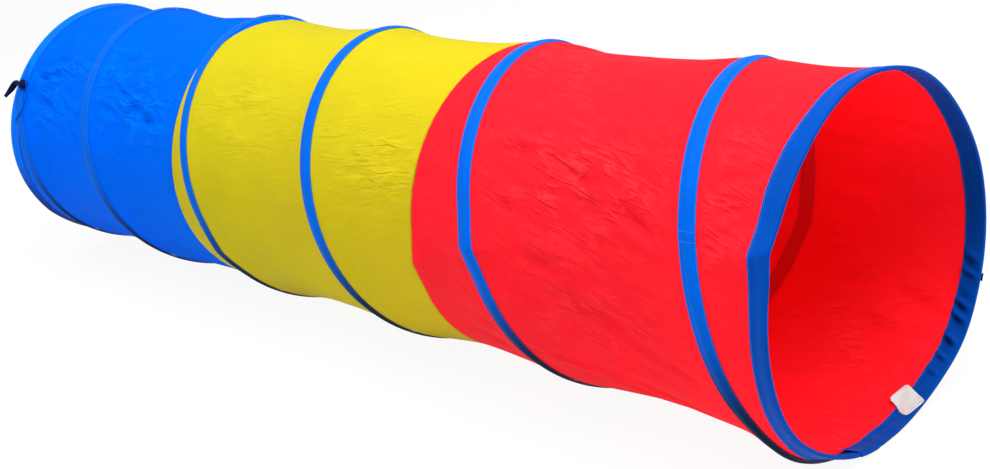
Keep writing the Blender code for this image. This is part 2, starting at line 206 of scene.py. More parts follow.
# Creases of each panel: how many, then the ranges of length, half width and depth, the heading down
# towards the mouth and its spread, the share of the panel from its far seam, and the angles crossed
crease_kinds = {
    "red_panel": (
        (14, (0.10, 0.24), (0.008, 0.013), (0.0020, 0.0051), (-20, 5), (0.05, 0.80), (70, 145)),
        (18, (0.05, 0.12), (0.007, 0.010), (0.0020, 0.0041), (-18, 10), (0.10, 0.80), (60, 150)),
        (12, (0.10, 0.26), (0.008, 0.014), (0.0026, 0.0046), (-12, 8), (0.05, 0.95), (20, 75)),
        (14, (0.05, 0.12), (0.007, 0.010), (0.0018, 0.0039), (14, 10), (0.80, 0.98), (80, 160)),
        (26, (0.12, 0.32), (0.010, 0.016), (0.0030, 0.0065), (8, 10), (0.10, 0.95), (195, 345)),
    ),
    "yellow_panel": (
        (20, (0.04, 0.12), (0.007, 0.010), (0.0006, 0.0012), (8, 7), (0.02, 0.45), (95, 155)),
        (22, (0.03, 0.09), (0.006, 0.009), (0.0007, 0.0014), (6, 18), (0.50, 0.95), (95, 150)),
        (10, (0.10, 0.24), (0.008, 0.013), (0.0008, 0.0014), (-8, 10), (0.05, 0.95), (20, 80)),
        (24, (0.08, 0.24), (0.009, 0.014), (0.0011, 0.0021), (8, 12), (0.05, 0.95), (190, 350)),
    ),
    "blue_panel": (
        (18, (0.05, 0.14), (0.007, 0.010), (0.0026, 0.0057), (-8, 12), (0.40, 0.92), (105, 150)),
        (14, (0.05, 0.14), (0.007, 0.010), (0.0026, 0.0057), (-6, 16), (0.06, 0.32), (105, 155)),
        (10, (0.08, 0.20), (0.008, 0.013), (0.0018, 0.0034), (-12, 12), (0.05, 0.95), (20, 80)),
        (24, (0.08, 0.22), (0.009, 0.014), (0.0024, 0.0049), (8, 12), (0.05, 0.95), (190, 350)),
    ),
}

# The sharpest creases one by one: place along the tunnel, degrees, length, heading, half width, depth
sharp_creases = {
    "red_panel": (
        (0.509, 136, 0.13, -2, 0.009, 0.0073), (0.598, 129, 0.13, -19, 0.010, -0.0073),
        (0.706, 119, 0.13, -23, 0.011, -0.0102), (0.635, 133, 0.09, -23, 0.009, 0.0073),
        (0.701, 135, 0.10, -25, 0.010, 0.0080), (0.550, 122, 0.07, -5, 0.008, -0.0057),
        (0.549, 139, 0.10, -13, 0.008, 0.0057), (0.490, 115, 0.05, -21, 0.008, -0.0063),
        (0.561, 99, 0.08, -2, 0.009, -0.0045), (0.594, 90, 0.11, -6, 0.010, -0.0057),
        (0.609, 80, 0.11, -8, 0.010, -0.0051), (0.667, 90, 0.08, -17, 0.009, 0.0051),
        (0.680, 75, 0.10, -18, 0.010, -0.0057), (0.523, 88, 0.09, -38, 0.009, -0.0040),
        (0.737, 114, 0.07, -24, 0.008, -0.0051), (0.834, 132, 0.06, 19, 0.008, 0.0051),
        (0.840, 126, 0.06, 16, 0.008, -0.0040),
    ),
    "yellow_panel": (
        (0.190, 124, 0.08, 14, 0.008, -0.0016), (0.230, 117, 0.07, -16, 0.008, 0.0016),
        (0.250, 122, 0.06, 20, 0.007, -0.0014), (-0.140, 132, 0.12, 9, 0.009, -0.0014),
        (-0.120, 122, 0.13, 6, 0.009, 0.0014),
    ),
    "blue_panel": (
        (-0.483, 131, 0.15, 2, 0.010, -0.0069), (-0.469, 124, 0.13, 1, 0.009, -0.0060),
        (-0.417, 119, 0.12, -15, 0.011, -0.0081), (-0.362, 124, 0.06, -51, 0.009, 0.0055),
        (-0.405, 112, 0.07, -12, 0.008, -0.0038), (-0.792, 116, 0.10, -15, 0.010, -0.0077),
        (-0.838, 139, 0.08, 28, 0.009, -0.0052), (-0.805, 142, 0.14, -7, 0.009, -0.0047),
        (-0.833, 126, 0.06, 15, 0.009, 0.0060), (-0.559, 146, 0.13, -8, 0.009, -0.0038),
        (-0.526, 138, 0.14, -2, 0.009, 0.0047), (-0.842, 115, 0.06, -7, 0.008, 0.0052),
    ),
}

# Where fine wrinkles gather: place along the tunnel, degrees, reach along, reach in degrees, amount
wrinkled_patches = {
    "red_panel": ((0.60, 127, 0.13, 15, 0.9), (0.62, 86, 0.12, 24, 0.40), (0.83, 128, 0.05, 22, 0.55)),
    "yellow_panel": ((-0.13, 134, 0.12, 17, 0.45), (0.22, 125, 0.10, 19, 0.65)),
    "blue_panel": ((-0.45, 126, 0.12, 18, 1.0), (-0.76, 130, 0.12, 20, 0.95), (-0.60, 148, 0.08, 12, 0.5)),
}
# Patches that fall anywhere on a panel: how many, and ranges of those measures after the first
stray_patches, stray_ranges = 7, ((170, 400), (0.05, 0.13), (12, 30), (0.1, 0.35))
# How wrinkled the cloth is outside the patches
least_wrinkled = 0.14
# Heading of each cloth's fine wrinkles, their height, the cloth's shine and sheen, and its painted
# highlight's colour
cloth_habits = {"red_panel": (-17.0, 0.0046, 0.04, 0.07, (0.98, 0.056, 0.072)),
                "yellow_panel": (8.0, 0.0028, 0.04, 0.04, (0.77, 0.69, 0.030)),
                "blue_panel": (-9.0, 0.0036, 0.01, 0.32, (0.0, 0.260, 0.99))}
# Painted shade on tape and thread towards the floor: darkest up to a height, gone above another, share,
# colour
casing_shade = (0.09, 0.26, 0.97, (0.0, 0.004, 0.012, 1))
far_shade = (0.11, 0.27, 0.95, (0.0, 0.014, 0.16, 1))
# Dust from the floor: its colour, and how high it reaches
dust_colour = (0.30, 0.27, 0.22, 1)
dust_reach = 0.012

# Puckers of each binding's inner face: how many, then the ranges of angle, half width and depth
binding_puckers = {
    "mouth": (
        (1, (-69, -68), (0.0060, 0.0070), (0.0026, 0.0030)),
        (1, (-64, -63), (0.0034, 0.0040), (0.0026, 0.0030)),
        (1, (-54, -53), (0.0040, 0.0045), (0.0036, 0.0040)),
        (1, (-49, -48), (0.0036, 0.0042), (0.0036, 0.0040)),
        (1, (-41.5, -40.5), (0.0038, 0.0042), (0.0034, 0.0038)),
        (1, (-35, -34), (0.0036, 0.0042), (0.0026, 0.0030)),
        (1, (-29, -28), (0.0040, 0.0050), (0.0014, 0.0018)),
        (16, (0, 360), (0.005, 0.011), (0.0004, 0.0011)),
    ),
    "far": ((16, (0, 360), (0.005, 0.011), (0.0004, 0.0010)),),
}
# Each binding: side of the tunnel, turn where its tape starts, corners round its mesh, and the turns by
# which two shares of them are spent, so that they lie closest where the puckers are
binding_lap = 0.022
corner_shares = (0.45, 0.82)
bindings = (
    ("mouth", 1, 0.0533 - binding_lap, 620, (0.74, 0.915)),
    ("far", -1, 0.62, 430, [share * (1 + binding_lap) for share in corner_shares]),
)
# Where the mouth's binding was folded wider or narrower: turn, share more, width in turns
fold_widths = {1: ((0.385, 0.14, 0.055), (0.23, -0.09, 0.05)), -1: ()}

# Ties: each one's side, turn round the tunnel, and how far its tail stands past the ring, hangs and lifts
tie_width = 0.010
tie_thickness = 0.0011
knot_size = (0.0112, 0.0056)
ties = (("far", -1, 0.3474, 0.015, 0.033, 0.008), ("mouth", 1, -0.1736, 0.0002, 0, 0.0014))
# How far a knot lies in from the tunnel's end and out from the binding, and a strap out from the ring
knot_depth, knot_rise, strap_rise = 0.025, 0.0060, 0.0009
strap_steps = 34

# The far knot's solid: its turn round the tunnel, and how far it reaches
solid_knot_turn = 0.3594
solid_knot_reach = 0.00784
# The closing loop: turns where it starts below that knot and ends, its depths there, and its bow
loop_cord_diameter = 0.0025
loop_start_gap = solid_knot_reach + layer_gap + loop_cord_diameter / 2
loop_turns = (solid_knot_turn - loop_start_gap / (2 * math.pi * outer_radius), 0.298)
loop_depths = (0.028, 0.018)
loop_bow = 0.030

# The label: its side, place round the mouth, and how far its sides turn and its sewn edge skews
label_side = 0.0388
label_angle = -math.radians(11.6)
label_turn = math.radians(-26.3)
label_skew = math.radians(10.3)
# Its thickness, the way of its sewn edge from the tunnel's end, how far its free end curls in, and where
# the row of stitches runs
label_thickness = 0.0005
label_depth = 0.0025
label_curl = 0.0056
label_row = 0.0055

# The softboxes: where each stands and its size; the spot they face; and how far the floor lies below
softboxes = (("overhead", (-0.2, -0.8, 3.3), 3.6), ("near", (-0.6, -3.8, 2.3), 2.6),
             ("mouth", (2.2, 0.5, 3.2), 2.2))
lit_spot = (0.3, 0, 0.2)
floor_gap = 0.0004


def smooth(s):
    s = np.clip(s, 0, 1)
    return s * s * (3 - 2 * s)


def bell(offset, width):
    return np.exp(-((offset / width) ** 2))


def turns_from(turn, angle):
    """How far an angle lies from a turn round the tunnel, in turns, from -0.5 to 0.5."""
    return (angle / (2 * math.pi) - turn + 0.5) % 1 - 0.5


def run_along(points):
    """The way gone along a line of points, at each of them."""
    return np.concatenate(([0], np.cumsum(np.linalg.norm(np.diff(points, axis=0), axis=1))))


def points_at(stops, run, points):
    """The points of a line at given stops along it."""
    return np.stack([np.interp(stops, run, points[:, k]) for k in range(3)], axis=-1)


def share_run(turns):
    """The share of its run that the coil has made, carried on evenly before and after its ends."""
    inside = np.clip(turns, coil_turns[0], coil_turns[-1])
    k = np.clip(np.searchsorted(coil_turns, inside, side="right") - 1, 0, len(coil_turns) - 2)
    span = coil_turns[k + 1] - coil_turns[k]
    s = (inside - coil_turns[k]) / span
    start = (1 + 2 * s) * (1 - s) ** 2 * coil_shares[k] + s * (1 - s) ** 2 * span * coil_slopes[k]
    end = (3 - 2 * s) * s**2 * coil_shares[k + 1] - (1 - s) * s**2 * span * coil_slopes[k + 1]
    return start + end + (turns - inside) / coil_turns[-1]


def coil_x(turns):
    at, width, lean = turn_lean
    leaned = lean * np.clip(1 - ((turns - at) / width) ** 2, 0, 1) ** 2
    return half_length - inner_strand_depth - run_length * share_run(turns) + leaned


def lobes_at(lobes, angle):
    return sum(c * np.cos(k * angle) + s * np.sin(k * angle) for k, (c, s) in enumerate(lobes, 1))


def place(x, radius, angle):
    """Where a point of the straight tunnel is on the tunnel as it stands: an array of x, y, z."""
    x, radius, angle = np.broadcast_arrays(*(np.asarray(a, float) for a in (x, radius, angle)))
    u = x / half_length
    push = lobes_at(mouth_lobes, angle) * bell(half_length - x, ring_fade)
    push += lobes_at(far_lobes, angle) * bell(half_length + x, ring_fade)
    bends = [(coil_x(t), t, pull, width, reach, 0) for t, pull, width, reach in wire_kinks]
    for at, turn, pull, width, reach, lean in bends + list(edge_kinks):
        off = np.abs(turns_from(turn + lean * (x - at), angle))
        push += pull * np.clip(1 - off / width, 0, 1) ** kink_sharpness * bell(x - at, reach)
    for at, turn, pull, width, reach in swells:
        push += pull * bell(turns_from(turn, angle), width) * bell(x - at, reach)
    y = bow[0] * (u**2 - 1 / 3) + bow[1] * (u**3 - 0.6 * u) - (radius + push) * np.sin(angle)
    below = np.maximum(0, (outer_radius + push) * np.cos(angle) - axis_height)
    return np.stack((x, y, axis_height - (radius + push) * np.cos(angle) + below), axis=-1)


def seam_drift(x, angle):
    """How far along the tunnel the cloth lies from where seams sewn square would put it."""
    drift = np.zeros(np.broadcast(x, angle).shape)
    for at, turn, shift, width, reach in seam_shifts:
        drift = drift + shift * bell(turns_from(turn, angle), width) * bell(x - at, reach)
    return drift


def edge_sway(angle):
    """How unevenly the turned-in edge of a panel was cut."""
    return 0.0022 * np.sin(5 * angle + 1) + 0.0012 * np.sin(17 * angle)


def settle(points):
    """Moves points of the straight tunnel to where they are on the tunnel as it stands."""
    across, down = -points[:, 1], axis_height - points[:, 2]
    return place(points[:, 0], np.hypot(across, down), np.arctan2(across, down))


def cloth_hold(x, angle, sizes):
    """How far the cloth is drawn in between the tapes that hold it out, and its distance from them."""
    turn = angle / (2 * math.pi) % 1
    land = sizes.casing_width / 2 / math.cos(coil_slope) + 0.001
    end_land = sizes.binding_width + 0.002
    holds = [(np.full(x.shape, side * half_length), end_land) for side in (1, -1)]
    for k in range(math.ceil(coil_turns[-1]) + 1):
        centre = np.where(turn + k <= coil_turns[-1], coil_x(turn + k), -half_length)
        holds.append((centre, land))
    above = np.min([np.where(c > x, c - reach, half_length) for c, reach in holds], axis=0)
    below = np.max([np.where(c > x, -half_length, c + reach) for c, reach in holds], axis=0)
    free = np.maximum(above - below, 1e-6)
    share = np.clip((x - below) / free, 0, 1)
    grown = np.minimum(1, free / (mean_pitch - 2 * land)) ** 1.5
    away = np.maximum(np.minimum(x - below, above - x), 0)
    return np.where(away > 0, sizes.cloth_sag * grown * 4 * share * (1 - share), 0), away


# Mesh building

def mapped_mesh(name, columns, rows, spot, welded=False, low=None, high=None):
    """A grid of columns by rows corners. spot(column, row) gives the place of each on the straight
    tunnel, its place on the flat cloth, and named values kept on the mesh."""
    bm = bmesh.new()
    bmesh.ops.create_grid(bm, x_segments=columns - 1, y_segments=rows - 1, size=1, calc_uvs=False)
    mesh = bpy.data.meshes.new(name)
    bm.to_mesh(mesh)
    bm.free()
    corners = read_points(mesh)
    column = np.rint((corners[:, 0] + 1) / 2 * (columns - 1)).astype(int)
    row = np.rint((corners[:, 1] + 1) / 2 * (rows - 1)).astype(int)
    (x, radius, angle), flat, kept = spot(column, row)
    write_points(mesh, np.stack(np.broadcast_arrays(
        x, -radius * np.sin(angle), axis_height - radius * np.cos(angle)), axis=-1))
    loops = np.empty(len(mesh.loops), np.int32)
    mesh.loops.foreach_get("vertex_index", loops)
    flat = np.stack(np.broadcast_arrays(*flat), axis=-1)
    mesh.uv_layers.new(name="flat").data.foreach_set("uv", flat[loops].ravel())
    for label, values in kept.items():
        mesh.attributes.new(label, "FLOAT", "POINT").data.foreach_set("value", np.asarray(values, float))
    bm = bmesh.new()
    bm.from_mesh(mesh)
    if welded:
        bmesh.ops.remove_doubles(bm, verts=bm.verts[:], dist=0.00002)
    for limit, drop_high in ((high, True), (low, False)):
        if limit is not None:
            bmesh.ops.bisect_plane(bm, geom=bm.verts[:] + bm.edges[:] + bm.faces[:], dist=1e-6,
                                   plane_co=(limit, 0, 0), plane_no=(1, 0, 0),
                                   clear_outer=drop_high, clear_inner=not drop_high)
    bmesh.ops.recalc_face_normals(bm, faces=bm.faces[:])
    bm.to_mesh(mesh)
    bm.free()
    outward(mesh)
    write_points(mesh, settle(read_points(mesh)))
    mesh.shade_smooth()
    return mesh


def read_points(mesh):
    points = np.empty(len(mesh.vertices) * 3)
    mesh.vertices.foreach_get("co", points)
    return points.reshape(-1, 3)


def write_points(mesh, points):
    mesh.vertices.foreach_set("co", np.ascontiguousarray(points, float).ravel())
    mesh.update()


def outward(mesh):
    """Turns an open sheet's faces away from the tunnel's axis."""
    total = sum(
        (f.center.y * f.normal.y + (f.center.z - axis_height) * f.normal.z) * f.area
        for f in mesh.polygons
    )
    if total < 0:
        mesh.flip_normals()


def add_piece(name, mesh, material):
    piece = bpy.data.objects.new(name, mesh)
    mesh.materials.clear()
    mesh.materials.append(material)
    bpy.context.scene.collection.objects.link(piece)
    return piece


def join_meshes(name, meshes):
    bm = bmesh.new()
    for mesh in meshes:
        bm.from_mesh(mesh)
        bpy.data.meshes.remove(mesh)
    joined = bpy.data.meshes.new(name)
    bm.to_mesh(joined)
    bm.free()
    return joined


def thicken(piece, thickness, offset=0.0):
    """Gives an open sheet its thickness, as a closed shell."""
    wall = piece.modifiers.new("cloth thickness", "SOLIDIFY")
    wall.thickness = thickness
    wall.offset = offset
    apply_modifiers(piece)
    return piece


def apply_modifiers(piece):
    bpy.context.view_layer.update()
    graph = bpy.context.evaluated_depsgraph_get()
    made = bpy.data.meshes.new_from_object(
        piece.evaluated_get(graph), preserve_all_data_layers=True, depsgraph=graph)
    old, piece.data = piece.data, made
    piece.modifiers.clear()
    name = old.name
    bpy.data.meshes.remove(old)
    made.name = name


def close_ends(mesh):
    """Caps the open ends of a tube, and points its faces outwards."""
    bm = bmesh.new()
    bm.from_mesh(mesh)
    bmesh.ops.remove_doubles(bm, verts=bm.verts[:], dist=0.00001)
    bmesh.ops.holes_fill(bm, edges=[e for e in bm.edges if e.is_boundary])
    bmesh.ops.recalc_face_normals(bm, faces=bm.faces[:])
    bm.to_mesh(mesh)
    bm.free()


def ride_panel(piece, name):
    """Rides with the panel's body, with a mesh of its own."""
    riders = {"red_panel": ("mouth_end", seams[0]), "yellow_panel": ("middle_section", seams[1]),
              "blue_panel": ("far_section", seams[2])}
    body, anchor = riders[name]
    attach(piece, body)
    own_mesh(piece)


# Thread

def stitch_row(points, out, every, size, wander, seed):
    """Stitches laid along a line of points, each as centre, way along, way outwards, size and turn."""
    run = run_along(points)
    count = max(2, int(run[-1] / every))
    stops = (np.arange(count) + 0.5) * run[-1] / count
    ahead, behind = points_at(stops + every / 4, run, points), points_at(stops - every / 4, run, points)
    turn = np.random.default_rng(seed).normal(0, wander, count)
    return [(Vector(c), Vector(a - b), Vector(o), size, t) for c, a, b, o, t in zip(
        points_at(stops, run, points), ahead, behind, points_at(stops, run, out), turn)]


def thread_mesh(name, stitches, per_batch=96):
    """One small closed lozenge of thread for each stitch."""
    whole = bmesh.new()
    for first in range(0, len(stitches), per_batch):
        bm = bmesh.new()
        for centre, along, out, (length, width, height), turn in stitches[first:first + per_batch]:
            along = along.normalized()
            side = out.cross(along).normalized()
            along = (along + side * turn).normalized()
            side = out.cross(along).normalized()
            up = along.cross(side)
            frame_of = Matrix((along * length / 2, side * width / 2, up * height / 2)).transposed().to_4x4()
            bmesh.ops.create_icosphere(bm, subdivisions=1, radius=1,
                                       matrix=Matrix.Translation(centre) @ frame_of)
        batch = bpy.data.meshes.new(name)
        bm.to_mesh(batch)
        bm.free()
        whole.from_mesh(batch)
        bpy.data.meshes.remove(batch)
    mesh = bpy.data.meshes.new(name)
    whole.to_mesh(mesh)
    whole.free()
    mesh.shade_smooth()
    return mesh


def line_on(x, radius, angle):
    """Points of a line on the tunnel as it stands, and the way outwards at each."""
    points = place(x, radius, angle)
    out = place(x, radius + 0.001, angle) - points
    return points, out / np.linalg.norm(out, axis=1, keepdims=True)


# Shader groups and materials

def add_node(tree, kind, sockets=None, **settings):
    """A node with its settings, and with its sockets set to values or linked to other nodes' sockets."""
    node = tree.nodes.new(kind)
    for key, value in settings.items():
        setattr(node, key, value)
    for key, value in (sockets or {}).items():
        if isinstance(value, bpy.types.NodeSocket):
            tree.links.new(value, node.inputs[key])
        else:
            node.inputs[key].default_value = value
    return node


def calc(tree, operation, *values):
    return add_node(tree, "ShaderNodeMath", dict(enumerate(values)), operation=operation).outputs[0]


def ramp(tree, value, from_low, from_high, to_low=0.0, to_high=1.0):
    return add_node(tree, "ShaderNodeMapRange", {
        "Value": value, "From Min": from_low, "From Max": from_high, "To Min": to_low, "To Max": to_high,
    }, interpolation_type="SMOOTHSTEP").outputs["Result"]


def mix_colour(tree, share, first, second):
    return add_node(tree, "ShaderNodeMix", {0: share, 6: first, 7: second}, data_type="RGBA").outputs[2]


def noise(tree, vector, scale, detail, roughness=0.5, **settings):
    """Fractal noise over a surface, from 0 to 1."""
    return add_node(tree, "ShaderNodeTexNoise", {
        "Vector": vector, "Scale": scale, "Detail": detail, "Roughness": roughness, **settings}).outputs[0]


def scaled(tree, vector, scale):
    return add_node(tree, "ShaderNodeMapping", {"Vector": vector, "Scale": scale}).outputs[0]


def parts_of(tree, vector):
    return add_node(tree, "ShaderNodeSeparateXYZ", {0: vector}).outputs


def flat_place(tree):
    """A point's place on the cloth or tape laid flat, in metres."""
    return add_node(tree, "ShaderNodeUVMap", uv_map="flat").outputs[0]


def object_place(tree):
    return add_node(tree, "ShaderNodeTexCoord").outputs["Object"]


def kept_value(tree, name):
    """A value kept on the mesh by mapped_mesh."""
    return add_node(tree, "ShaderNodeAttribute", attribute_name=name).outputs["Fac"]


def bump(tree, height, distance, strength, **more):
    return add_node(tree, "ShaderNodeBump", {
        "Height": height, "Distance": distance, "Strength": strength, **more}).outputs[0]


def shader_group(name, inputs, outputs, fill):
    """A node group with named inputs and outputs, built once. A default of None makes a vector."""
    group = bpy.data.node_groups.get(name)
    if group is None:
        group = bpy.data.node_groups.new(name, "ShaderNodeTree")
        for label, default in inputs.items():
            kind = "NodeSocketVector" if default is None else "NodeSocketFloat"
            socket = group.interface.new_socket(label, in_out="INPUT", socket_type=kind)
            if default is not None:
                socket.default_value = default
        for label in outputs:
            group.interface.new_socket(label, in_out="OUTPUT", socket_type="NodeSocketFloat")
        entry = group.nodes.new("NodeGroupInput")
        leave = group.nodes.new("NodeGroupOutput")
        for label, value in fill(group, entry.outputs).items():
            group.links.new(value, leave.inputs[label])
    return group


def use_group(tree, group, **values):
    """A group's outputs, with its inputs given by name, where _ stands for a space."""
    sockets = {label.replace("_", " "): value for label, value in values.items()}
    return add_node(tree, "ShaderNodeGroup", sockets, node_tree=group).outputs


def woven_threads():
    """Threads crossing over and under each other."""
    def fill(tree, given):
        waves = calc(tree, "DIVIDE", 2 * math.pi, given["Pitch"])
        spot = add_node(tree, "ShaderNodeVectorMath", {0: given["Vector"], "Scale": waves}, operation="SCALE")
        parts = parts_of(tree, spot.outputs[0])
        over = calc(tree, "MULTIPLY", calc(tree, "SINE", parts[0]), calc(tree, "SINE", parts[1]))
        return {"Height": calc(tree, "MULTIPLY_ADD", over, 0.5, 0.5)}
    return shader_group("woven threads", {"Vector": None, "Pitch": 0.0006}, ("Height",), fill)


def tape_ribs():
    """Raised ribs across a narrow tape."""
    def fill(tree, given):
        parts = parts_of(tree, given["Vector"])
        waves = calc(tree, "DIVIDE", 2 * math.pi, given["Pitch"])
        rib = calc(tree, "SINE", calc(tree, "MULTIPLY", parts[0], waves))
        warp = calc(tree, "SINE", calc(tree, "MULTIPLY", parts[1], calc(tree, "MULTIPLY", waves, 1.7)))
        both = calc(tree, "MULTIPLY_ADD", warp, 0.35, rib)
        return {"Height": calc(tree, "MULTIPLY_ADD", both, 0.37, 0.5)}
    return shader_group("tape ribs", {"Vector": None, "Pitch": 0.0009}, ("Height",), fill)


def crumpled_folds():
    """Small sharp folds left in cloth that has been packed away."""
    def fill(tree, given):
        turned = add_node(tree, "ShaderNodeMapping", {"Vector": given["Vector"], "Rotation": (0, 0, 0.35)})
        long_way = add_node(tree, "ShaderNodeVectorMath", {
            0: turned.outputs[0], 1: (0.55, 1.0, 1.0)}, operation="MULTIPLY").outputs[0]
        size = calc(tree, "DIVIDE", 1.0, given["Fold Size"])
        coarse = add_node(tree, "ShaderNodeTexNoise", {
            "Vector": long_way, "Scale": size, "Detail": 3.0, "Roughness": 0.5, "Lacunarity": 2.1,
            "Offset": 0.9, "Gain": 1.6, "Distortion": 0.6}, noise_type="RIDGED_MULTIFRACTAL", normalize=True)
        fine = noise(tree, given["Vector"], calc(tree, "MULTIPLY", size, 0.31), 2.0)
        patch = calc(tree, "MULTIPLY_ADD", ramp(tree, fine, 0.38, 0.68), 0.75, 0.25)
        return {"Height": calc(tree, "MULTIPLY", coarse.outputs[0], patch)}
    return shader_group("crumpled folds", {"Vector": None, "Fold Size": 0.03}, ("Height",), fill)


def pressed_wrinkles():
    """Fine wrinkles that run one way, as packed cloth keeps them, and the lines of their crests, for a
    painted highlight.
    """
    def fill(tree, given):
        heading = add_node(tree, "ShaderNodeCombineXYZ", {2: given["Heading"]}).outputs[0]
        turned = add_node(tree, "ShaderNodeMapping", {"Vector": given["Vector"], "Rotation": heading})
        drawn = add_node(tree, "ShaderNodeVectorMath", {
            0: turned.outputs[0], 1: (17.0, 80.0, 1.0)}, operation="MULTIPLY").outputs[0]
        waves = noise(tree, drawn, 1.0, 2.5, 0.55, Distortion=0.8)
        line = calc(tree, "ABSOLUTE", calc(tree, "SUBTRACT", waves, 0.5))
        level = ramp(tree, noise(tree, given["Vector"], 22.0, 1.0), 0.36, 0.62, 0.15, 1.0)
        sharp = ramp(tree, line, 0.0, 0.16, 1.0, 0.0)
        both = calc(tree, "MULTIPLY_ADD", sharp, 0.55, calc(tree, "MULTIPLY", waves, 0.9))
        crest_highlight = ramp(tree, line, 0.0, 0.09, 1.0, 0.0)
        return {"Height": calc(tree, "MULTIPLY", both, level), "Crest": calc(tree, "MULTIPLY", crest_highlight, level)}
    return shader_group("pressed wrinkles", {"Vector": None, "Heading": 0.0}, ("Height", "Crest"), fill)


def tone_drift():
    """A slow change of tone over a surface, as a factor about one."""
    def fill(tree, given):
        wide = noise(tree, given["Vector"], calc(tree, "DIVIDE", 1.0, given["Patch Size"]), 4.0, 0.6)
        low = calc(tree, "SUBTRACT", 1.0, given["Amount"])
        high = calc(tree, "ADD", 1.0, given["Amount"])
        return {"Tone": ramp(tree, wide, 0.28, 0.72, low, high)}
    return shader_group("tone drift", {"Vector": None, "Patch Size": 0.1, "Amount": 0.05}, ("Tone",), fill)


def floor_dust():
    """Dust picked up from the floor, strongest on the underside."""
    def fill(tree, given):
        near = ramp(tree, parts_of(tree, given["Vector"])[2], 0.0, given["Reach"], 1.0, 0.0)
        specks = ramp(tree, noise(tree, given["Vector"], 46.0, 5.0, 0.7), 0.42, 0.7)
        return {"Dust": calc(tree, "MULTIPLY", near, specks)}
    return shader_group("floor dust", {"Vector": None, "Reach": 0.05}, ("Dust",), fill)


def woven_edge():
    """The band along a tape's woven edge, from the distance to that edge."""
    def fill(tree, given):
        return {"Edge": ramp(tree, given["Distance"], 0.0, given["Band"], 1.0, 0.0)}
    return shader_group("woven edge", {"Distance": 0.01, "Band": 0.001}, ("Edge",), fill)


def floor_shade():
    """Painted shade on a tape's underside, as a share: darkest low down, gone higher up."""
    def fill(tree, given):
        height = parts_of(tree, given["Vector"])[2]
        return {"Shade": ramp(tree, height, given["Low"], given["High"], given["Amount"], 0.0)}
    inputs = {"Vector": None, "Low": 0.0, "High": 0.2, "Amount": 1.0}
    return shader_group("floor shade", inputs, ("Shade",), fill)


def built_once(make):
    """Makes a material the first time its name is asked for, and finds it after that."""
    def find_or_make(name, *values, **settings):
        found = bpy.data.materials.get(name)
        if found:
            return found
        material = bpy.data.materials.new(name)
        material.use_nodes = True
        make(material.node_tree, material.node_tree.nodes["Principled BSDF"], *values, **settings)
        return material
    return find_or_make


def finish_shader(tree, shader, base, normal, roughness, **constants):
    """Links what changes over the surface, and sets what is the same all over."""
    for label, value in (("Base Color", base), ("Normal", normal), ("Roughness", roughness)):
        tree.links.new(value, shader.inputs[label])
    for label, value in constants.items():
        shader.inputs[label.replace("_", " ")].default_value = value


def blend_surfaces(tree, share, first, second):
    """Makes the material a mix of two shaders."""
    blend = add_node(tree, "ShaderNodeMixShader", {0: share, 1: first, 2: second})
    tree.links.new(blend.outputs[0], tree.nodes["Material Output"].inputs["Surface"])


def toned(tree, colour, tone):
    """The colour brightened or darkened by a tone."""
    node = add_node(tree, "ShaderNodeVectorMath", {0: tuple(colour)[:3], "Scale": tone}, operation="SCALE")
    return node.outputs[0]


def tinted(colour, white):
    """The colour lightened by a share of white, as a shader's tint."""
    return *(white + (1 - white) * c for c in colour), 1


def dusty(tree, base, where, share):
    dust = use_group(tree, floor_dust(), Vector=where, Reach=dust_reach)["Dust"]
    return mix_colour(tree, calc(tree, "MULTIPLY", dust, share), base, dust_colour)


def shaded(tree, base, where, shade):
    """The colour with painted shade, darkened towards the floor."""
    if shade is None:
        return base
    low, high, amount, dark = shade
    share = use_group(tree, floor_shade(), Vector=where, Low=low, High=high, Amount=amount)["Shade"]
    return mix_colour(tree, share, base, dark)


@built_once
def panel_cloth(tree, shader, colour, heading, height, shine, sheen, pale):
    """Thin woven polyester that glows with the light behind it."""
    flat = flat_place(tree)
    wrinkled = kept_value(tree, "wrinkled")
    wrinkles = use_group(tree, pressed_wrinkles(), Vector=flat, Heading=-math.radians(heading))
    weave = use_group(tree, woven_threads(), Vector=flat, Pitch=0.0008)
    patches = use_group(tree, tone_drift(), Vector=flat, Patch_Size=0.16, Amount=0.035)
    slubs = scaled(tree, flat, (60.0, 700.0, 1.0))
    streaks = use_group(tree, tone_drift(), Vector=slubs, Patch_Size=1.0, Amount=0.03)
    base = toned(tree, colour, calc(tree, "MULTIPLY", patches["Tone"], streaks["Tone"]))
    # Painted highlight: the wrinkles' crests are lightened towards a paler colour, standing in for the sheen
    # on them
    base = mix_colour(tree, calc(tree, "MULTIPLY", wrinkles["Crest"], wrinkled), base, (*pale, 1))
    base = dusty(tree, base, object_place(tree), 0.06)
    creased = bump(tree, calc(tree, "MULTIPLY", wrinkles["Height"], wrinkled), height, 1.0)
    woven = bump(tree, weave["Height"], 0.00003, 0.35, Normal=creased)
    finish_shader(tree, shader, base, woven, ramp(tree, patches["Tone"], 0.96, 1.04, 0.50, 0.62),
                  Specular_IOR_Level=shine, Specular_Tint=tinted(colour, 0.2), Sheen_Weight=sheen,
                  Sheen_Roughness=0.5, Sheen_Tint=(*(c**0.4 for c in colour), 1))
    glow = add_node(tree, "ShaderNodeBsdfTranslucent", {"Color": base, "Normal": woven})
    blend_surfaces(tree, bpy.context.scene.tunnel_colours.translucency, shader.outputs[0], glow.outputs[0])


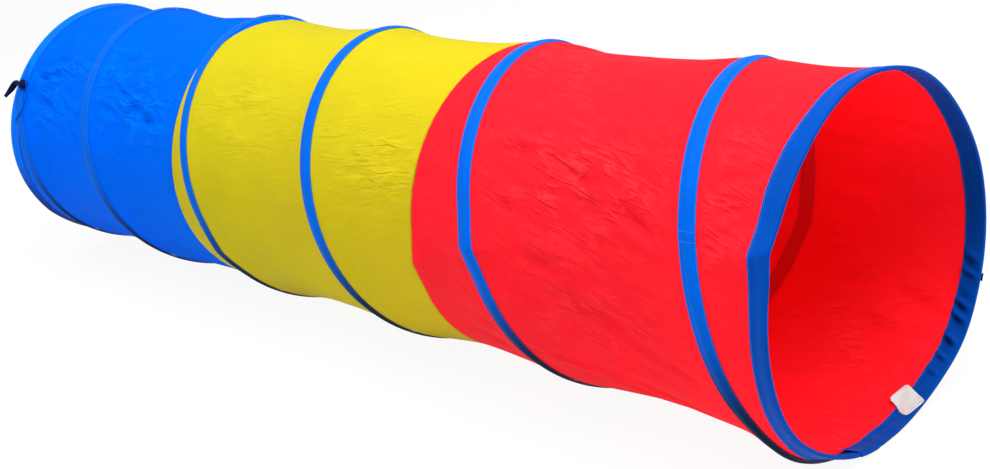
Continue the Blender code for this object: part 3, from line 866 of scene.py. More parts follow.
@built_once
def woven_tape(tree, shader, colour, edge_colour, pitch=0.0011, roughness=(0.52, 0.66), sheen=0.06,
               shade=None):
    """Ribbed tape with a lighter woven edge, painted shade at the foot of each pucker, and painted shade
    towards the floor where a shade is given.
    """
    flat, where = flat_place(tree), object_place(tree)
    ribs = use_group(tree, tape_ribs(), Vector=flat, Pitch=pitch)
    folds = use_group(tree, crumpled_folds(), Vector=flat, Fold_Size=0.016)
    drift = use_group(tree, tone_drift(), Vector=flat, Patch_Size=0.05, Amount=0.06)
    edge = use_group(tree, woven_edge(), Distance=kept_value(tree, "rim"), Band=0.0011)["Edge"]
    base = toned(tree, colour, drift["Tone"])
    base = mix_colour(tree, calc(tree, "MULTIPLY", edge, 0.75), base, (*edge_colour, 1))
    # Painted shade: the tape is darkened to navy along the foot of each pucker
    tucked = calc(tree, "MULTIPLY", kept_value(tree, "tucked"), 0.85)
    base = dusty(tree, mix_colour(tree, tucked, base, (0.0, 0.01, 0.08, 1)), where, 0.08)
    soft = bump(tree, folds["Height"], 0.0006, 0.6)
    ribbed = bump(tree, ribs["Height"], 0.00008, 0.5, Normal=soft)
    # Painted shade towards the floor, where a shade is given
    finish_shader(tree, shader, shaded(tree, base, where, shade), ribbed,
                  ramp(tree, drift["Tone"], 0.94, 1.06, *roughness), Specular_IOR_Level=0.06,
                  Specular_Tint=tinted(edge_colour, 0.2), Sheen_Weight=sheen, Sheen_Roughness=0.4,
                  Sheen_Tint=tinted(edge_colour, 0.04))


@built_once
def sewing_thread(tree, shader, colour, shade=None):
    """Twisted polyester thread, with painted shade towards the floor where a shade is given."""
    where = object_place(tree)
    drift = use_group(tree, tone_drift(), Vector=where, Patch_Size=0.006, Amount=0.14)
    twist = use_group(tree, woven_threads(), Vector=where, Pitch=0.0007)
    finish_shader(tree, shader, shaded(tree, toned(tree, colour, drift["Tone"]), where, shade),
                  bump(tree, twist["Height"], 0.00008, 0.6),
                  ramp(tree, drift["Tone"], 0.86, 1.14, 0.42, 0.58), Sheen_Weight=0.2)


@built_once
def drawn_steel(tree, shader, colour, roughness):
    """Bright drawn wire with fine lines along it and dull spots."""
    flat = flat_place(tree)
    drift = use_group(tree, tone_drift(), Vector=flat, Patch_Size=0.02, Amount=0.12)
    lines = scaled(tree, flat, (12.0, 6000.0, 1.0))
    drawn = use_group(tree, tone_drift(), Vector=lines, Patch_Size=1.0, Amount=0.5)
    finish_shader(tree, shader, toned(tree, colour, drift["Tone"]), bump(tree, drawn["Tone"], 0.00002, 0.5),
                  ramp(tree, drawn["Tone"], 0.5, 1.5, roughness - 0.07, roughness + 0.1), Metallic=1.0)


@built_once
def satin_label(tree, shader, colour):
    """White satin tag with fine woven lines and a slightly darker edge."""
    flat = flat_place(tree)
    ribs = use_group(tree, tape_ribs(), Vector=flat, Pitch=0.0016)
    drift = use_group(tree, tone_drift(), Vector=flat, Patch_Size=0.012, Amount=0.05)
    edge = use_group(tree, woven_edge(), Distance=kept_value(tree, "rim"), Band=0.0012)["Edge"]
    base = mix_colour(tree, calc(tree, "MULTIPLY", edge, 0.5), toned(tree, colour, drift["Tone"]),
                      (0.62, 0.60, 0.56, 1))
    finish_shader(tree, shader, base, bump(tree, ribs["Height"], 0.0002, 0.6),
                  ramp(tree, drift["Tone"], 0.95, 1.05, 0.45, 0.6), Sheen_Weight=0.3)


def seen_directly(tree):
    """1 where the camera sees the backdrop, also in gloss and through glass."""
    rays = add_node(tree, "ShaderNodeLightPath").outputs
    mirrored = calc(tree, "MAXIMUM", rays["Is Glossy Ray"], rays["Is Transmission Ray"])
    return calc(tree, "MAXIMUM", rays["Is Camera Ray"], mirrored)


@built_once
def backdrop_paper(tree, shader):
    """Plain pale paper that looks white to the camera and still takes the tunnel's shadow."""
    drift = use_group(tree, tone_drift(), Vector=object_place(tree), Patch_Size=0.7, Amount=0.006)
    tree.links.new(toned(tree, (0.93, 0.93, 0.93), drift["Tone"]), shader.inputs["Base Color"])
    shader.inputs["Roughness"].default_value = 0.95
    shader.inputs["Specular IOR Level"].default_value = 0.1
    white = add_node(tree, "ShaderNodeEmission", {"Color": (1, 1, 1, 1), "Strength": 1.0})
    share = calc(tree, "MULTIPLY", seen_directly(tree), bpy.context.scene.tunnel_studio.paper_white)
    blend_surfaces(tree, share, shader.outputs[0], white.outputs[0])


def tape_finish(end=None):
    """The casing's tape, or the tape of the mouth's or the far end's binding: one tape, made darker at the
    mouth and lighter at the far end to stand in for the shade and the light there.
    """
    colours = bpy.context.scene.tunnel_colours
    if end == "far":
        return woven_tape("far binding tape", colours.far_binding, colours.tape_edge, shade=far_shade)
    if end == "mouth":
        return woven_tape("blue binding tape", colours.binding, colours.tape_edge)
    return woven_tape("blue tape", colours.tape, colours.tape_edge, shade=casing_shade)


def thread_finish(use=None):
    """The thread of the casing, of its underside, made darker to stand in for the shade there, of the far
    binding, or of anything else.
    """
    colours = bpy.context.scene.tunnel_colours
    if use == "under":
        return sewing_thread("dark bobbin thread", colours.bobbin_thread)
    if use == "casing":
        return sewing_thread("casing thread", colours.thread, casing_shade)
    if use == "far":
        return sewing_thread("far binding thread", colours.thread, far_shade)
    return sewing_thread("blue thread", colours.thread)


# Cloth panels

def crease_relief(name, x, angle, seed):
    """How far the creases lift the cloth at each place: the slack ones, and the sharp ones."""
    low, high = panel_edges[name]
    rng = np.random.default_rng(seed)
    round_way = cloth_radius * angle
    slack_ones = []
    for count, lengths, widths, depths, (heading, spread), shares, angles in crease_kinds[name]:
        for _ in range(count):
            sign = 1 if rng.random() < 0.5 else -1
            slack_ones.append((
                low + (high - low) * rng.uniform(*shares), rng.uniform(*angles), rng.uniform(*lengths),
                rng.normal(heading, spread), rng.uniform(*widths), sign * rng.uniform(*depths)))
    reliefs = []
    for creases in (slack_ones, sharp_creases[name]):
        relief = np.zeros(x.shape)
        for at, degrees, length, heading, width, depth in creases:
            way, middle = math.radians(heading), cloth_radius * math.radians(degrees)
            bend, lean = rng.normal(0, 0.10), rng.uniform(-0.5, 0.5)
            dx = x - at
            ds = (round_way - middle + cloth_girth / 2) % cloth_girth - cloth_girth / 2
            along = (dx * math.cos(way) + ds * math.sin(way)) / (length / 2)
            off = ds * math.cos(way) - dx * math.sin(way) + bend * length * (along**2 - 0.5)
            near = (np.abs(along) < 1) & (np.abs(off) < 4 * width)
            a, o = along[near], off[near] / width
            ridge = np.exp(-(o**2) / (1 + lean * np.sign(o))) - 0.35 * bell(o, 2.2)
            relief[near] += depth * ridge * np.cos(a * math.pi / 2) ** 1.5
        reliefs.append(relief)
    return reliefs


def wrinkle_amount(name, x, angle, seed):
    """How strongly the cloth is wrinkled at each place, from 0 to 1."""
    rng = np.random.default_rng(seed)
    patches = list(wrinkled_patches[name])
    for _ in range(stray_patches):
        patches.append(tuple(rng.uniform(*ends) for ends in (panel_edges[name], *stray_ranges)))
    amount = np.full(x.shape, least_wrinkled)
    for at, degrees, reach, spread, more in patches:
        amount = amount + more * bell(x - at, reach) * bell(360 * turns_from(degrees / 360, angle), spread)
    return np.minimum(amount, 1)


def pucker_waves(angle, rng):
    """Uneven gathers round the tunnel, from sewing, between about -1 and 1."""
    pucker = np.zeros(angle.shape)
    for _ in range(5):
        waves, phase, swell = rng.integers(52, 78), rng.uniform(0, 6.3), rng.integers(3, 9)
        pucker += np.sin(waves * angle + phase) * (0.5 + 0.5 * np.sin(swell * angle + phase * 3)) / 5
    return pucker


def cloth_relief(name, x, angle, sizes):
    """The cloth's radius at each place, and how finely wrinkled it is there."""
    sag, away = cloth_hold(x + seam_drift(x, angle), angle, sizes)
    slack = smooth(away / slack_reach)
    seed = sizes.crease_seed + panel_names.index(name)
    soft, sharp = crease_relief(name, x, angle, seed)
    creases = sizes.crease_depth * (soft * slack + sharp * smooth(away / sharp_reach))
    pucker = pucker_waves(angle, np.random.default_rng(seed + 50))
    height, reach, start = tape_puckers
    by_tape = pucker * height * np.exp(-away / reach) * smooth(away / start)
    by_seam = np.zeros(x.shape)
    groove = np.zeros(x.shape)
    for seam in seams[1:-1]:
        off = np.abs(x - seam)
        by_seam += pucker * seam_puckers[0] * np.exp(-off / seam_puckers[1])
        groove += seam_groove[0] * np.exp(-off / seam_groove[1])
    wide = np.sin(3 * angle + x * 9) * np.sin(x * 23 + 2 * angle) * wide_wave
    radius = cloth_radius - sag + creases + wide * slack + by_tape - by_seam * slack - groove
    return radius, wrinkle_amount(name, x, angle, seed + 90) * smooth(away / wrinkle_reach)


def at_ring(x):
    """Whether a panel's edge is at one of the end rings, and not at a seam."""
    return abs(x) > half_length - 0.01


def panel_lines(low, high):
    """Lines of points across the panel: place along the tunnel, and depth of the turned-in edge."""
    edges = []
    for end, way in ((low, 1), (high, -1)):
        if at_ring(end):
            edges.append([(end + way * cloth_depth, 0)])
        else:
            edges.append([(end + way * seam_half_gap + way * off, depth) for off, depth in turned_edge])
    start, finish = edges[0], edges[1][::-1]
    inner = np.linspace(start[-1][0], finish[0][0], panel_rows - len(start) - len(finish) + 2)[1:-1]
    return np.array(start + [(x, 0) for x in inner] + finish)


def make_panel(name, material, sizes):
    low, high = panel_edges[name]
    lines = panel_lines(low, high)
    flat_run = np.concatenate(([0], np.cumsum(np.abs(np.diff(lines, axis=0)).sum(axis=1))))

    def spot(column, row):
        x, inward = lines[row, 0], lines[row, 1]
        angle = 2 * math.pi * column / (panel_columns - 1)
        radius, wrinkled = cloth_relief(name, x, angle, sizes)
        sway = edge_sway(angle) * (inward / seam_allowance) ** 1.5
        shape = (x + seam_drift(x, angle) + sway, radius - inward, angle)
        return shape, (flat_run[row], angle * cloth_radius), {"wrinkled": wrinkled * (inward == 0)}

    def lap_spot(column, row):
        length = high - low - 2 * lap_inset - (cloth_depth if at_ring(high) else 0)
        x = low + lap_inset + length * column / (lap_columns - 1)
        x = np.clip(x, lap_inset - half_length, half_length - lap_inset)
        angle = math.radians(sizes.side_seam_angle) + (row - lap_rows // 2) * lap_step / cloth_radius
        radius = cloth_relief(name, x, angle, sizes)[0]
        fold = np.where((row == 0) | (row == lap_rows - 1), skin, lap_fold)
        shape = (x + seam_drift(x, angle), radius - sizes.cloth_thickness - fold, angle)
        return shape, (x, row * lap_step + lap_flat), {"wrinkled": 0 * x}

    tube = mapped_mesh(name, panel_columns, len(lines), spot, welded=True)
    lap = mapped_mesh(name + " side seam", lap_columns, lap_rows, lap_spot)
    piece = add_piece(name.replace("_panel", "_cloth"), join_meshes(name, (tube, lap)), material)
    thicken(piece, sizes.cloth_thickness)
    piece.data.name = piece.name
    return piece


class TUNNEL_OT_panels(Operator):
    """Make the three cloth panels, drawn in between the tapes and creased"""

    bl_idname = "tunnel.panels"
    bl_label = "Cloth panels"

    def execute(self, context):
        sizes, colours = context.scene.tunnel_sizes, context.scene.tunnel_colours
        for name, (low, high) in panel_edges.items():
            colour = getattr(colours, name.replace("_panel", "_cloth"))
            cloth = panel_cloth(name.replace("_panel", " cloth"), colour, *cloth_habits[name])
            piece = make_panel(name, cloth, sizes)
            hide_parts(name)
            ride_panel(piece, name)
        return {"FINISHED"}


# Spring wire

def wire_x(turns):
    """Where the wire lies along the tunnel: mouth ring, coil and far ring in one length."""
    pitch = inner_strand_depth - outer_strand_depth
    back = pitch * smooth((-turns - facet_turn) / strand_shift)
    on = pitch * smooth((turns - coil_turns[-1] - facet_turn) / strand_shift)
    coiled = coil_x(np.clip(turns, 0, coil_turns[-1]))
    return coiled + np.where(turns < 0, back, 0) - np.where(turns > coil_turns[-1], on, 0)


class TUNNEL_OT_wire(Operator):
    """Make the spring wire and the crimped sleeves that join its ends"""

    bl_idname = "tunnel.wire"
    bl_label = "Spring wire and sleeves"

    def execute(self, context):
        sizes, colours = context.scene.tunnel_sizes, context.scene.tunnel_colours
        radius = sizes.wire_diameter / 2
        overlap = 1 + wire_lap / coil_girth
        first, last = -overlap, coil_turns[-1] + overlap
        columns = int((last - first) * wire_steps)

        def spot(column, row):
            turns = first + (last - first) * column / (columns - 1)
            round_wire = 2 * math.pi * row / wire_sides
            x = wire_x(turns) + radius * np.cos(round_wire)
            shape = (x, coil_radius + radius * np.sin(round_wire), 2 * math.pi * turns)
            return shape, (turns * turn_length, radius * round_wire), {}

        mesh = mapped_mesh("coil_spring", columns, wire_sides + 1, spot)
        close_ends(mesh)
        wire = add_piece("coil_spring", mesh, drawn_steel("spring steel", colours.wire, 0.32))
        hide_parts("coil_wire")
        ride_panel(wire, "red_panel")
        sleeve_x = half_length - (outer_strand_depth + inner_strand_depth) / 2
        for end, side, angle in sleeves:
            sleeve = self.make_sleeve(f"{end}_crimped_sleeve", side * sleeve_x, angle, colours)
            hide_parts(f"{end}_crimp_sleeve")
            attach(sleeve, f"{end}_end")
        return {"FINISHED"}

    def make_sleeve(self, name, x, angle, colours):
        """A tube pressed round two strands of wire and pinched."""
        columns, around = 41, 32

        def spot(column, row):
            along = (column / (columns - 1) - 0.5) * sleeve_length
            turn = 2 * math.pi * row / around
            pinch = 1 - 0.14 * sum(bell(along - at, 0.0014) for at in pinches)
            u = np.cos(turn) * sleeve_radius + sleeve_spread * np.tanh(4 * np.cos(turn))
            out = np.sin(turn) * sleeve_radius * pinch
            return (x + u, coil_radius + out, angle + along / coil_radius), (along, turn * sleeve_radius), {}

        mesh = mapped_mesh(name, columns, around + 1, spot, welded=True)
        piece = add_piece(name, mesh, drawn_steel("crimped steel", colours.sleeve, 0.38))
        return thicken(piece, sleeve_wall, offset=-1)


# Casing tape

def casing_height(turns, off):
    """How high the casing tape's middle layer lies over its flat edges: the hump over the wire, a loose
    wave beside it, and a second layer at the joint."""
    fall = np.clip((np.abs(off) - 0.0010) / 0.0082, 0, 1)
    hump = (crest_radius - flange_radius) * (0.5 + 0.5 * np.cos(math.pi * fall))
    wave = np.sin(turns * 2 * math.pi * 31 + 2) * np.sin(turns * 2 * math.pi * 7)
    wave += 0.6 * np.sin(turns * 2 * math.pi * 53)
    loose = bell(np.abs(off) - 0.0070, 0.0022) * 0.00028 * (1 + wave)
    start, end = tape_joint
    joint = tape_thickness * smooth((turns - start) / 0.0006) * smooth((end - turns) / 0.0006)
    return hump + loose + joint


def tape_share(turns):
    """The casing tape's width at each place, as a share of its usual width."""
    return 1 - sum(less * bell(turns - at, width) for at, less, width in narrow_tape)


def binding_rise(depth):
    """How far the binding rises over the ring's wire, from its flat part outwards."""
    return (outer_radius - tape_thickness / 2 - flange_radius) * smooth((0.0200 - depth) / 0.0138)


def casing_spot(turns, off):
    """Where the casing tape's middle layer is, a way off the line of the coil."""
    x = coil_x(turns) + off / math.cos(coil_slope)
    depth = half_length - np.abs(x)
    lift = layer_step * (1 - smooth((depth - 0.030) / 0.010))
    height = np.maximum(casing_height(turns, off), binding_rise(depth))
    return x, flange_radius + height + lift, 2 * math.pi * turns


class TUNNEL_OT_casing(Operator):
    """Make the casing tape sewn over the coil"""

    bl_idname = "tunnel.casing"
    bl_label = "Casing tape"

    def execute(self, context):
        sizes = context.scene.tunnel_sizes
        length = coil_turns[-1] + 2 * casing_overrun
        columns = int(length * casing_steps)
        rows = casing_rows * sizes.casing_width / (2 * casing_rows[-1])

        def spot(column, row):
            turns = length * column / (columns - 1) - casing_overrun
            off = rows[row] * tape_share(turns)
            rim = (sizes.casing_width / 2 - np.abs(rows[row])) * tape_share(turns)
            return casing_spot(turns, off), (turns * turn_length, off), {"rim": rim}

        limit = half_length - casing_end_depth
        mesh = mapped_mesh("coil_casing_tape", columns, len(rows), spot, low=-limit, high=limit)
        tape = thicken(add_piece("coil_casing_tape", mesh, tape_finish()), sizes.tape_thickness)
        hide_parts("coil_casing")
        ride_panel(tape, "red_panel")
        return {"FINISHED"}


# Bindings

def binding_profile(width):
    """Middle of the folded tape from its outer edge over the ring to its inner edge: radius, depth."""
    top = outer_radius - tape_thickness / 2
    edge = (width, width - 0.0004, width - 0.001, width - 0.0025)
    points = [(flange_radius, d) for d in (*edge, 0.0235, 0.0215, 0.0200)]
    points += [(flange_radius + binding_rise(d), d)
               for d in (0.0186, 0.0170, 0.0152, 0.0134, 0.0116, 0.0098, 0.0082)]
    points += [(top - 0.00012, 0.0062), (top, 0.0049), (top - 0.0001, 0.0036)]
    middle, reach = (top + lining_radius) / 2, (top - lining_radius) / 2
    for k in range(9):
        turn = math.pi * (k + 0.5) / 9
        points.append((middle + reach * math.cos(turn), 0.0022 - 0.0019 * math.sin(turn) ** 0.8))
    inside = (0.0034, 0.0060, 0.0090, 0.0120, 0.0150, 0.0180, 0.0205, 0.0230)
    points += [(lining_radius, d) for d in (*inside, *reversed(edge))]
    return np.array(points)


def binding_shape(side, start, turns_round, row, profile, puckers):
    """Places on one binding, and how much painted shade each takes at the foot of a pucker. The tape laps
    over its own start, and its loose end stands up a little on the lining."""
    flat_radius, flat_depth = profile[row].T
    before, after = profile[np.maximum(row - 1, 0)], profile[np.minimum(row + 1, len(profile) - 1)]
    along = after - before
    along = along / np.linalg.norm(along, axis=1, keepdims=True)
    lining = flat_radius < lining_radius + skin
    lift = layer_step * smooth((turns_round - 1 + 0.006) / 0.006)
    loose_end = np.clip(1 - (np.max(turns_round) - turns_round) / 0.020, 0, 1) ** 1.6
    lift = lift + 0.0060 * loose_end * np.clip(flat_depth / 0.028, 0, 1) ** 1.3 * lining
    skew = 0.016 * (row / (len(profile) - 1) - 0.5) * smooth((turns_round - 0.95) / 0.05)
    angle = 2 * math.pi * (start + turns_round + skew)
    inner = lining * np.sin(math.pi * np.clip(flat_depth / 0.030, 0, 1))
    bulge, tucked = np.zeros(angle.shape), np.zeros(angle.shape)
    for turn, width, high in puckers:
        off = turns_from(turn, angle) * cloth_girth + 0.45 * (flat_depth - 0.015)
        bulge += high * bell(off, width)
        # Painted shade along the lower side of each pucker
        tucked += high / 0.0036 * bell(off - width * 1.1, width * 0.9)
    outer = (flat_depth > 0.011) & (flat_radius > lining_radius + 0.001)
    ease = 0.0004 * np.sin(23 * angle) * np.sin(5 * angle + 1) * outer * np.sin(
        math.pi * np.clip((flat_depth - 0.011) / 0.015, 0, 1))
    radius = flat_radius - along[:, 1] * lift - bulge * inner + ease
    depth = (flat_depth + along[:, 0] * lift) * binding_stretch(side, angle)
    shown = inner * smooth((flat_depth - 0.005) / 0.009) * smooth((0.031 - flat_depth) / 0.010)
    return (side * (half_length - depth), radius, angle), np.clip(tucked, 0, 1) * shown


def binding_stretch(side, angle):
    """How much wider or narrower than usual the binding was folded, from place to place."""
    stretch = 1 + 0.018 * np.sin(4 * angle + 1) * np.sin(7 * angle)
    stretch = stretch + 0.012 * np.sin(19 * angle + 2 * np.sin(3 * angle))
    for turn, more, width in fold_widths[side]:
        stretch = stretch + more * bell(turns_from(turn, angle), width)
    return stretch


class TUNNEL_OT_bindings(Operator):
    """Make the folded bindings over the two end rings"""

    bl_idname = "tunnel.bindings"
    bl_label = "End bindings"

    def execute(self, context):
        sizes = context.scene.tunnel_sizes
        profile = binding_profile(sizes.binding_width)
        across = run_along(profile)
        for end, side, start, columns, close in bindings:
            rng = np.random.default_rng(sizes.crease_seed + 7 + side)
            puckers = [(rng.uniform(*angles) / 360, rng.uniform(*widths), rng.uniform(*depths))
                       for count, angles, widths, depths in binding_puckers[end] for _ in range(count)]
            turns = np.interp(np.linspace(0, 1, columns), (0, *corner_shares, 1),
                              (0, *close, 1 + binding_lap))

            def spot(column, row):
                turns_round = turns[column]
                shape, tucked = binding_shape(side, start, turns_round, row, profile, puckers)
                rim = np.minimum(across[row], across[-1] - across[row])
                tail = (1 + binding_lap - turns_round) * cloth_girth
                kept = {"rim": np.minimum(rim, tail), "tucked": tucked}
                return shape, (turns_round * cloth_girth, across[row]), kept

            mesh = mapped_mesh(f"{end}_ring_binding", columns, len(profile), spot)
            piece = add_piece(f"{end}_ring_binding", mesh, tape_finish(end))
            thicken(piece, sizes.tape_thickness)
            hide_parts(f"{end}_binding")
            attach(piece, f"{end}_end")
        return {"FINISHED"}


# Stitching

def add_stitches(name, stitches, thread):
    """A piece made of all its rows of stitches."""
    return add_piece(name, thread_mesh(name, stitches), thread)


class TUNNEL_OT_stitching(Operator):
    """Lay the rows of stitches along the casing, the bindings and the panel seams"""

    bl_idname = "tunnel.stitching"
    bl_label = "Stitching"

    def execute(self, context):
        sizes = context.scene.tunnel_sizes
        size = (sizes.stitch_length, stitch_width, stitch_height)
        every = sizes.stitch_length * stitch_spacing
        self.sew_casing(sizes, size, every)
        self.sew_bindings(sizes, size, every)
        self.sew_panels(context, size, every)
        return {"FINISHED"}

    def sew_casing(self, sizes, size, every):
        """Rows along both edges of the casing tape, as seen outside and inside, and across its joint."""
        turns = np.arange(0.01, coil_turns[-1], 0.002)
        over, under = [], []
        for off in (-casing_row, casing_row):
            x, radius, angle = casing_spot(turns, off * tape_share(turns))
            shown = np.abs(x) < half_length - casing_end_depth - 0.002
            points, out = line_on(x[shown], radius[shown] + tape_thickness / 2 + skin, angle[shown])
            over += stitch_row(points, out, every, size, wander=0.05, seed=3)
            inside = np.abs(x) < half_length - sizes.binding_width - 0.003
            points, out = line_on(x[inside], cloth_radius - sizes.cloth_thickness / 2 - skin, angle[inside])
            under += stitch_row(points, -out, every, size, wander=0.05, seed=4)
        off = np.linspace(-0.0105, 0.0105, 60)
        for turn in joint_rows:
            x, radius, angle = casing_spot(np.full(off.shape, turn), off)
            points, out = line_on(x, radius + tape_thickness / 2 + 2 * skin, angle)
            over += stitch_row(points, out, *joint_stitches, wander=0.45, seed=5)
        for name, stitches, use in (
            ("casing_stitches", over, "casing"), ("casing_understitches", under, "under"),
        ):
            piece = add_stitches(name, stitches, thread_finish(use))
            ride_panel(piece, "red_panel")

    def sew_bindings(self, sizes, size, every):
        """A row round each binding's outside and one round its inside."""
        round_way = np.linspace(0, 2 * math.pi, 720)
        for end, side, *_ in bindings:
            depth = (sizes.binding_width - binding_row) * binding_stretch(side, round_way)
            x = side * (half_length - depth)
            points, out = line_on(x, flange_radius + tape_thickness / 2 + skin, round_way)
            rows = stitch_row(points, out, every, size, wander=0.05, seed=6)
            points, out = line_on(x, lining_radius - tape_thickness / 2 - skin, round_way)
            rows += stitch_row(points, -out, every, size, wander=0.05, seed=7)
            piece = add_stitches(f"{end}_binding_stitches", rows, thread_finish(end))
            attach(piece, f"{end}_end")

    def sew_panels(self, context, size, every):
        """Overlocked edges of the turned-in seams, and the lapped seam along each panel."""
        sizes, colours = context.scene.tunnel_sizes, context.scene.tunnel_colours
        for name, (low, high) in panel_edges.items():
            rows = []
            for end, way in ((low, 1), (high, -1)):
                if not at_ring(end):
                    rows += self.overlock(name, end, way, sizes)
            limit = half_length - binding_clearance
            x = np.linspace(max(low, -limit) + row_inset, min(high, limit) - row_inset, 400)
            for shift in (-side_row_shift, side_row_shift):
                angle = np.full(x.shape, math.radians(sizes.side_seam_angle) + shift / cloth_radius)
                at, radius = x + seam_drift(x, angle), cloth_relief(name, x, angle, sizes)[0]
                points, out = line_on(at, radius + sizes.cloth_thickness / 2 + skin, angle)
                rows += stitch_row(points, out, every, size, wander=0.04, seed=10)
                points, out = line_on(at, radius - sizes.cloth_thickness * 1.5 - lap_fold - skin, angle)
                rows += stitch_row(points, -out, every, size, wander=0.04, seed=11)
            colour = getattr(colours, name.replace("_panel", "_cloth"))
            lighter = tuple(c + (1 - c) * 0.22 for c in colour)
            thread = sewing_thread(name.replace("_panel", " thread"), lighter)
            piece = add_stitches(name.replace("_panel", "_seam_stitches"), rows, thread)
            ride_panel(piece, name)

    def overlock(self, name, end, way, sizes):
        """Straight stitches along a turned-in edge, and zigzag ones over them."""
        round_way = np.linspace(0, 2 * math.pi, 1200)
        x = np.full(round_way.shape, end + way * seam_half_gap)
        radius = cloth_relief(name, x, round_way, sizes)[0]
        face = way * (sizes.cloth_thickness / 2 + 2 * skin)
        at = x + seam_drift(x, round_way) + edge_sway(round_way) * 0.7 + face
        points, out = line_on(at, radius - overlock_depth, round_way)
        side_on = np.zeros(out.shape)
        side_on[:, 0] = way
        rows = stitch_row(points, side_on, *overlock_stitches, wander=0.0, seed=8)
        zigzag = stitch_row(points, side_on, *zigzag_stitches, wander=0.0, seed=9)
        leans = (-zigzag_lean, zigzag_lean)
        return rows + [(*stitch[:4], leans[k % 2]) for k, stitch in enumerate(zigzag)]


# Ties, loop and label

def surface_ways(angle):
    """The ways outwards and upwards round the tunnel at an angle."""
    out = np.array((0, -math.sin(angle), -math.cos(angle)))
    up = np.array((0, -math.cos(angle), math.sin(angle)))
    return out, up


def straight_point(x, radius, angle):
    return np.array((x, -radius * math.sin(angle), axis_height - radius * math.cos(angle)))


def rounded_path(points, count):
    """A smooth line through the points, evenly spaced."""
    points = np.array(points)
    padded = np.concatenate(([2 * points[0] - points[1]], points, [2 * points[-1] - points[-2]]))
    line = []
    for a, b, c, d in zip(padded, padded[1:], padded[2:], padded[3:]):
        for s in np.linspace(0, 1, 12, endpoint=False):
            line.append(0.5 * (2 * b + (c - a) * s + (2 * a - 5 * b + 4 * c - d) * s**2
                               + (3 * b - a - 3 * c + d) * s**3))
    line = np.array(line + [points[-1]])
    run = run_along(line)
    return points_at(np.linspace(0, run[-1], count), run, line)


def carried_ways(ahead):
    """A way square to each step of a path, carried along it without turning."""
    out = np.empty(ahead.shape)
    way = np.cross(ahead[0], (0.3, 0.5, 0.8))
    for k, forward in enumerate(ahead):
        way = way - forward * np.dot(way, forward)
        way /= np.linalg.norm(way)
        out[k] = way
    return out


def swept_mesh(name, path, sides, section, out=None):
    """A tube or ribbon along a path: section(step, side) gives its offsets across and outwards."""
    ahead = np.gradient(path, axis=0)
    ahead /= np.linalg.norm(ahead, axis=1, keepdims=True)
    across = np.cross(ahead, carried_ways(ahead) if out is None else out)
    across /= np.linalg.norm(across, axis=1, keepdims=True)
    up = np.cross(across, ahead)
    steps = run_along(path)

    def spot(column, row):
        a, o, round_way, kept = section(column, row)
        points = path[column] + across[column] * a[:, None] + up[column] * o[:, None]
        shape = (points[:, 0], np.hypot(points[:, 1], axis_height - points[:, 2]),
                 np.arctan2(-points[:, 1], axis_height - points[:, 2]))
        return shape, (steps[column], round_way), kept

    return mapped_mesh(name, len(path), sides, spot)


def make_strap(name, path, out, material, broad):
    """A tie ribbon, slightly cupped across, with softened edges."""
    count, rows = len(path), 9

    def section(column, row):
        along = column / (count - 1)
        width = tie_width * (1 + broad * bell(along - 0.62, 0.2) - broad * smooth((along - 0.7) / 0.3))
        across = (row / (rows - 1) - 0.5) * width
        cup = 0.0006 * (1 - (2 * row / (rows - 1) - 1) ** 2) * np.sin(column * 0.55)
        tip = np.minimum(column, count - 1 - column) / (count - 1) * 0.045
        return across, cup, across, {"rim": np.minimum(tie_width / 2 - np.abs(across), tip)}

    mesh = swept_mesh(name, path, rows, section, out=out)
    piece = thicken(add_piece(name, mesh, material), tie_thickness * 0.8)
    soft = piece.modifiers.new("soft edge", "BEVEL")
    soft.width = 0.0003
    soft.segments = 2
    soft.limit_method = "ANGLE"
    apply_modifiers(piece)
    return piece


def make_knot(name, centre, out, up, material, turn_on):
    """An overhand knot of ribbon, pulled tight."""
    wide, high = knot_size
    turns = np.linspace(0, 2 * math.pi, 91)
    swing = 0.42
    reach = wide * 0.74 * (1 + swing * np.cos(3 * turns)) / (1 + swing)
    path = centre + np.outer(reach * np.cos(2 * turns + turn_on), (1.0, 0, 0))
    path += np.outer(reach * np.sin(2 * turns + turn_on), up)
    path += np.outer(high * 0.52 * np.sin(3 * turns), out)
    sides = 13

    def section(column, row):
        turn = 2 * math.pi * row / (sides - 1)
        fold = 1 + 0.10 * np.cos(5 * turn + column * 0.4)
        rim = np.abs(np.sin(turn)) * 0.002
        return 0.0034 * np.cos(turn) * fold, 0.0020 * np.sin(turn) * fold, turn * 0.0028, {"rim": rim}

    outs = path - centre + out * 0.001
    mesh = swept_mesh(name, path, sides, section, out=outs / np.linalg.norm(outs, axis=1, keepdims=True))
    close_ends(mesh)
    return add_piece(name, mesh, material)


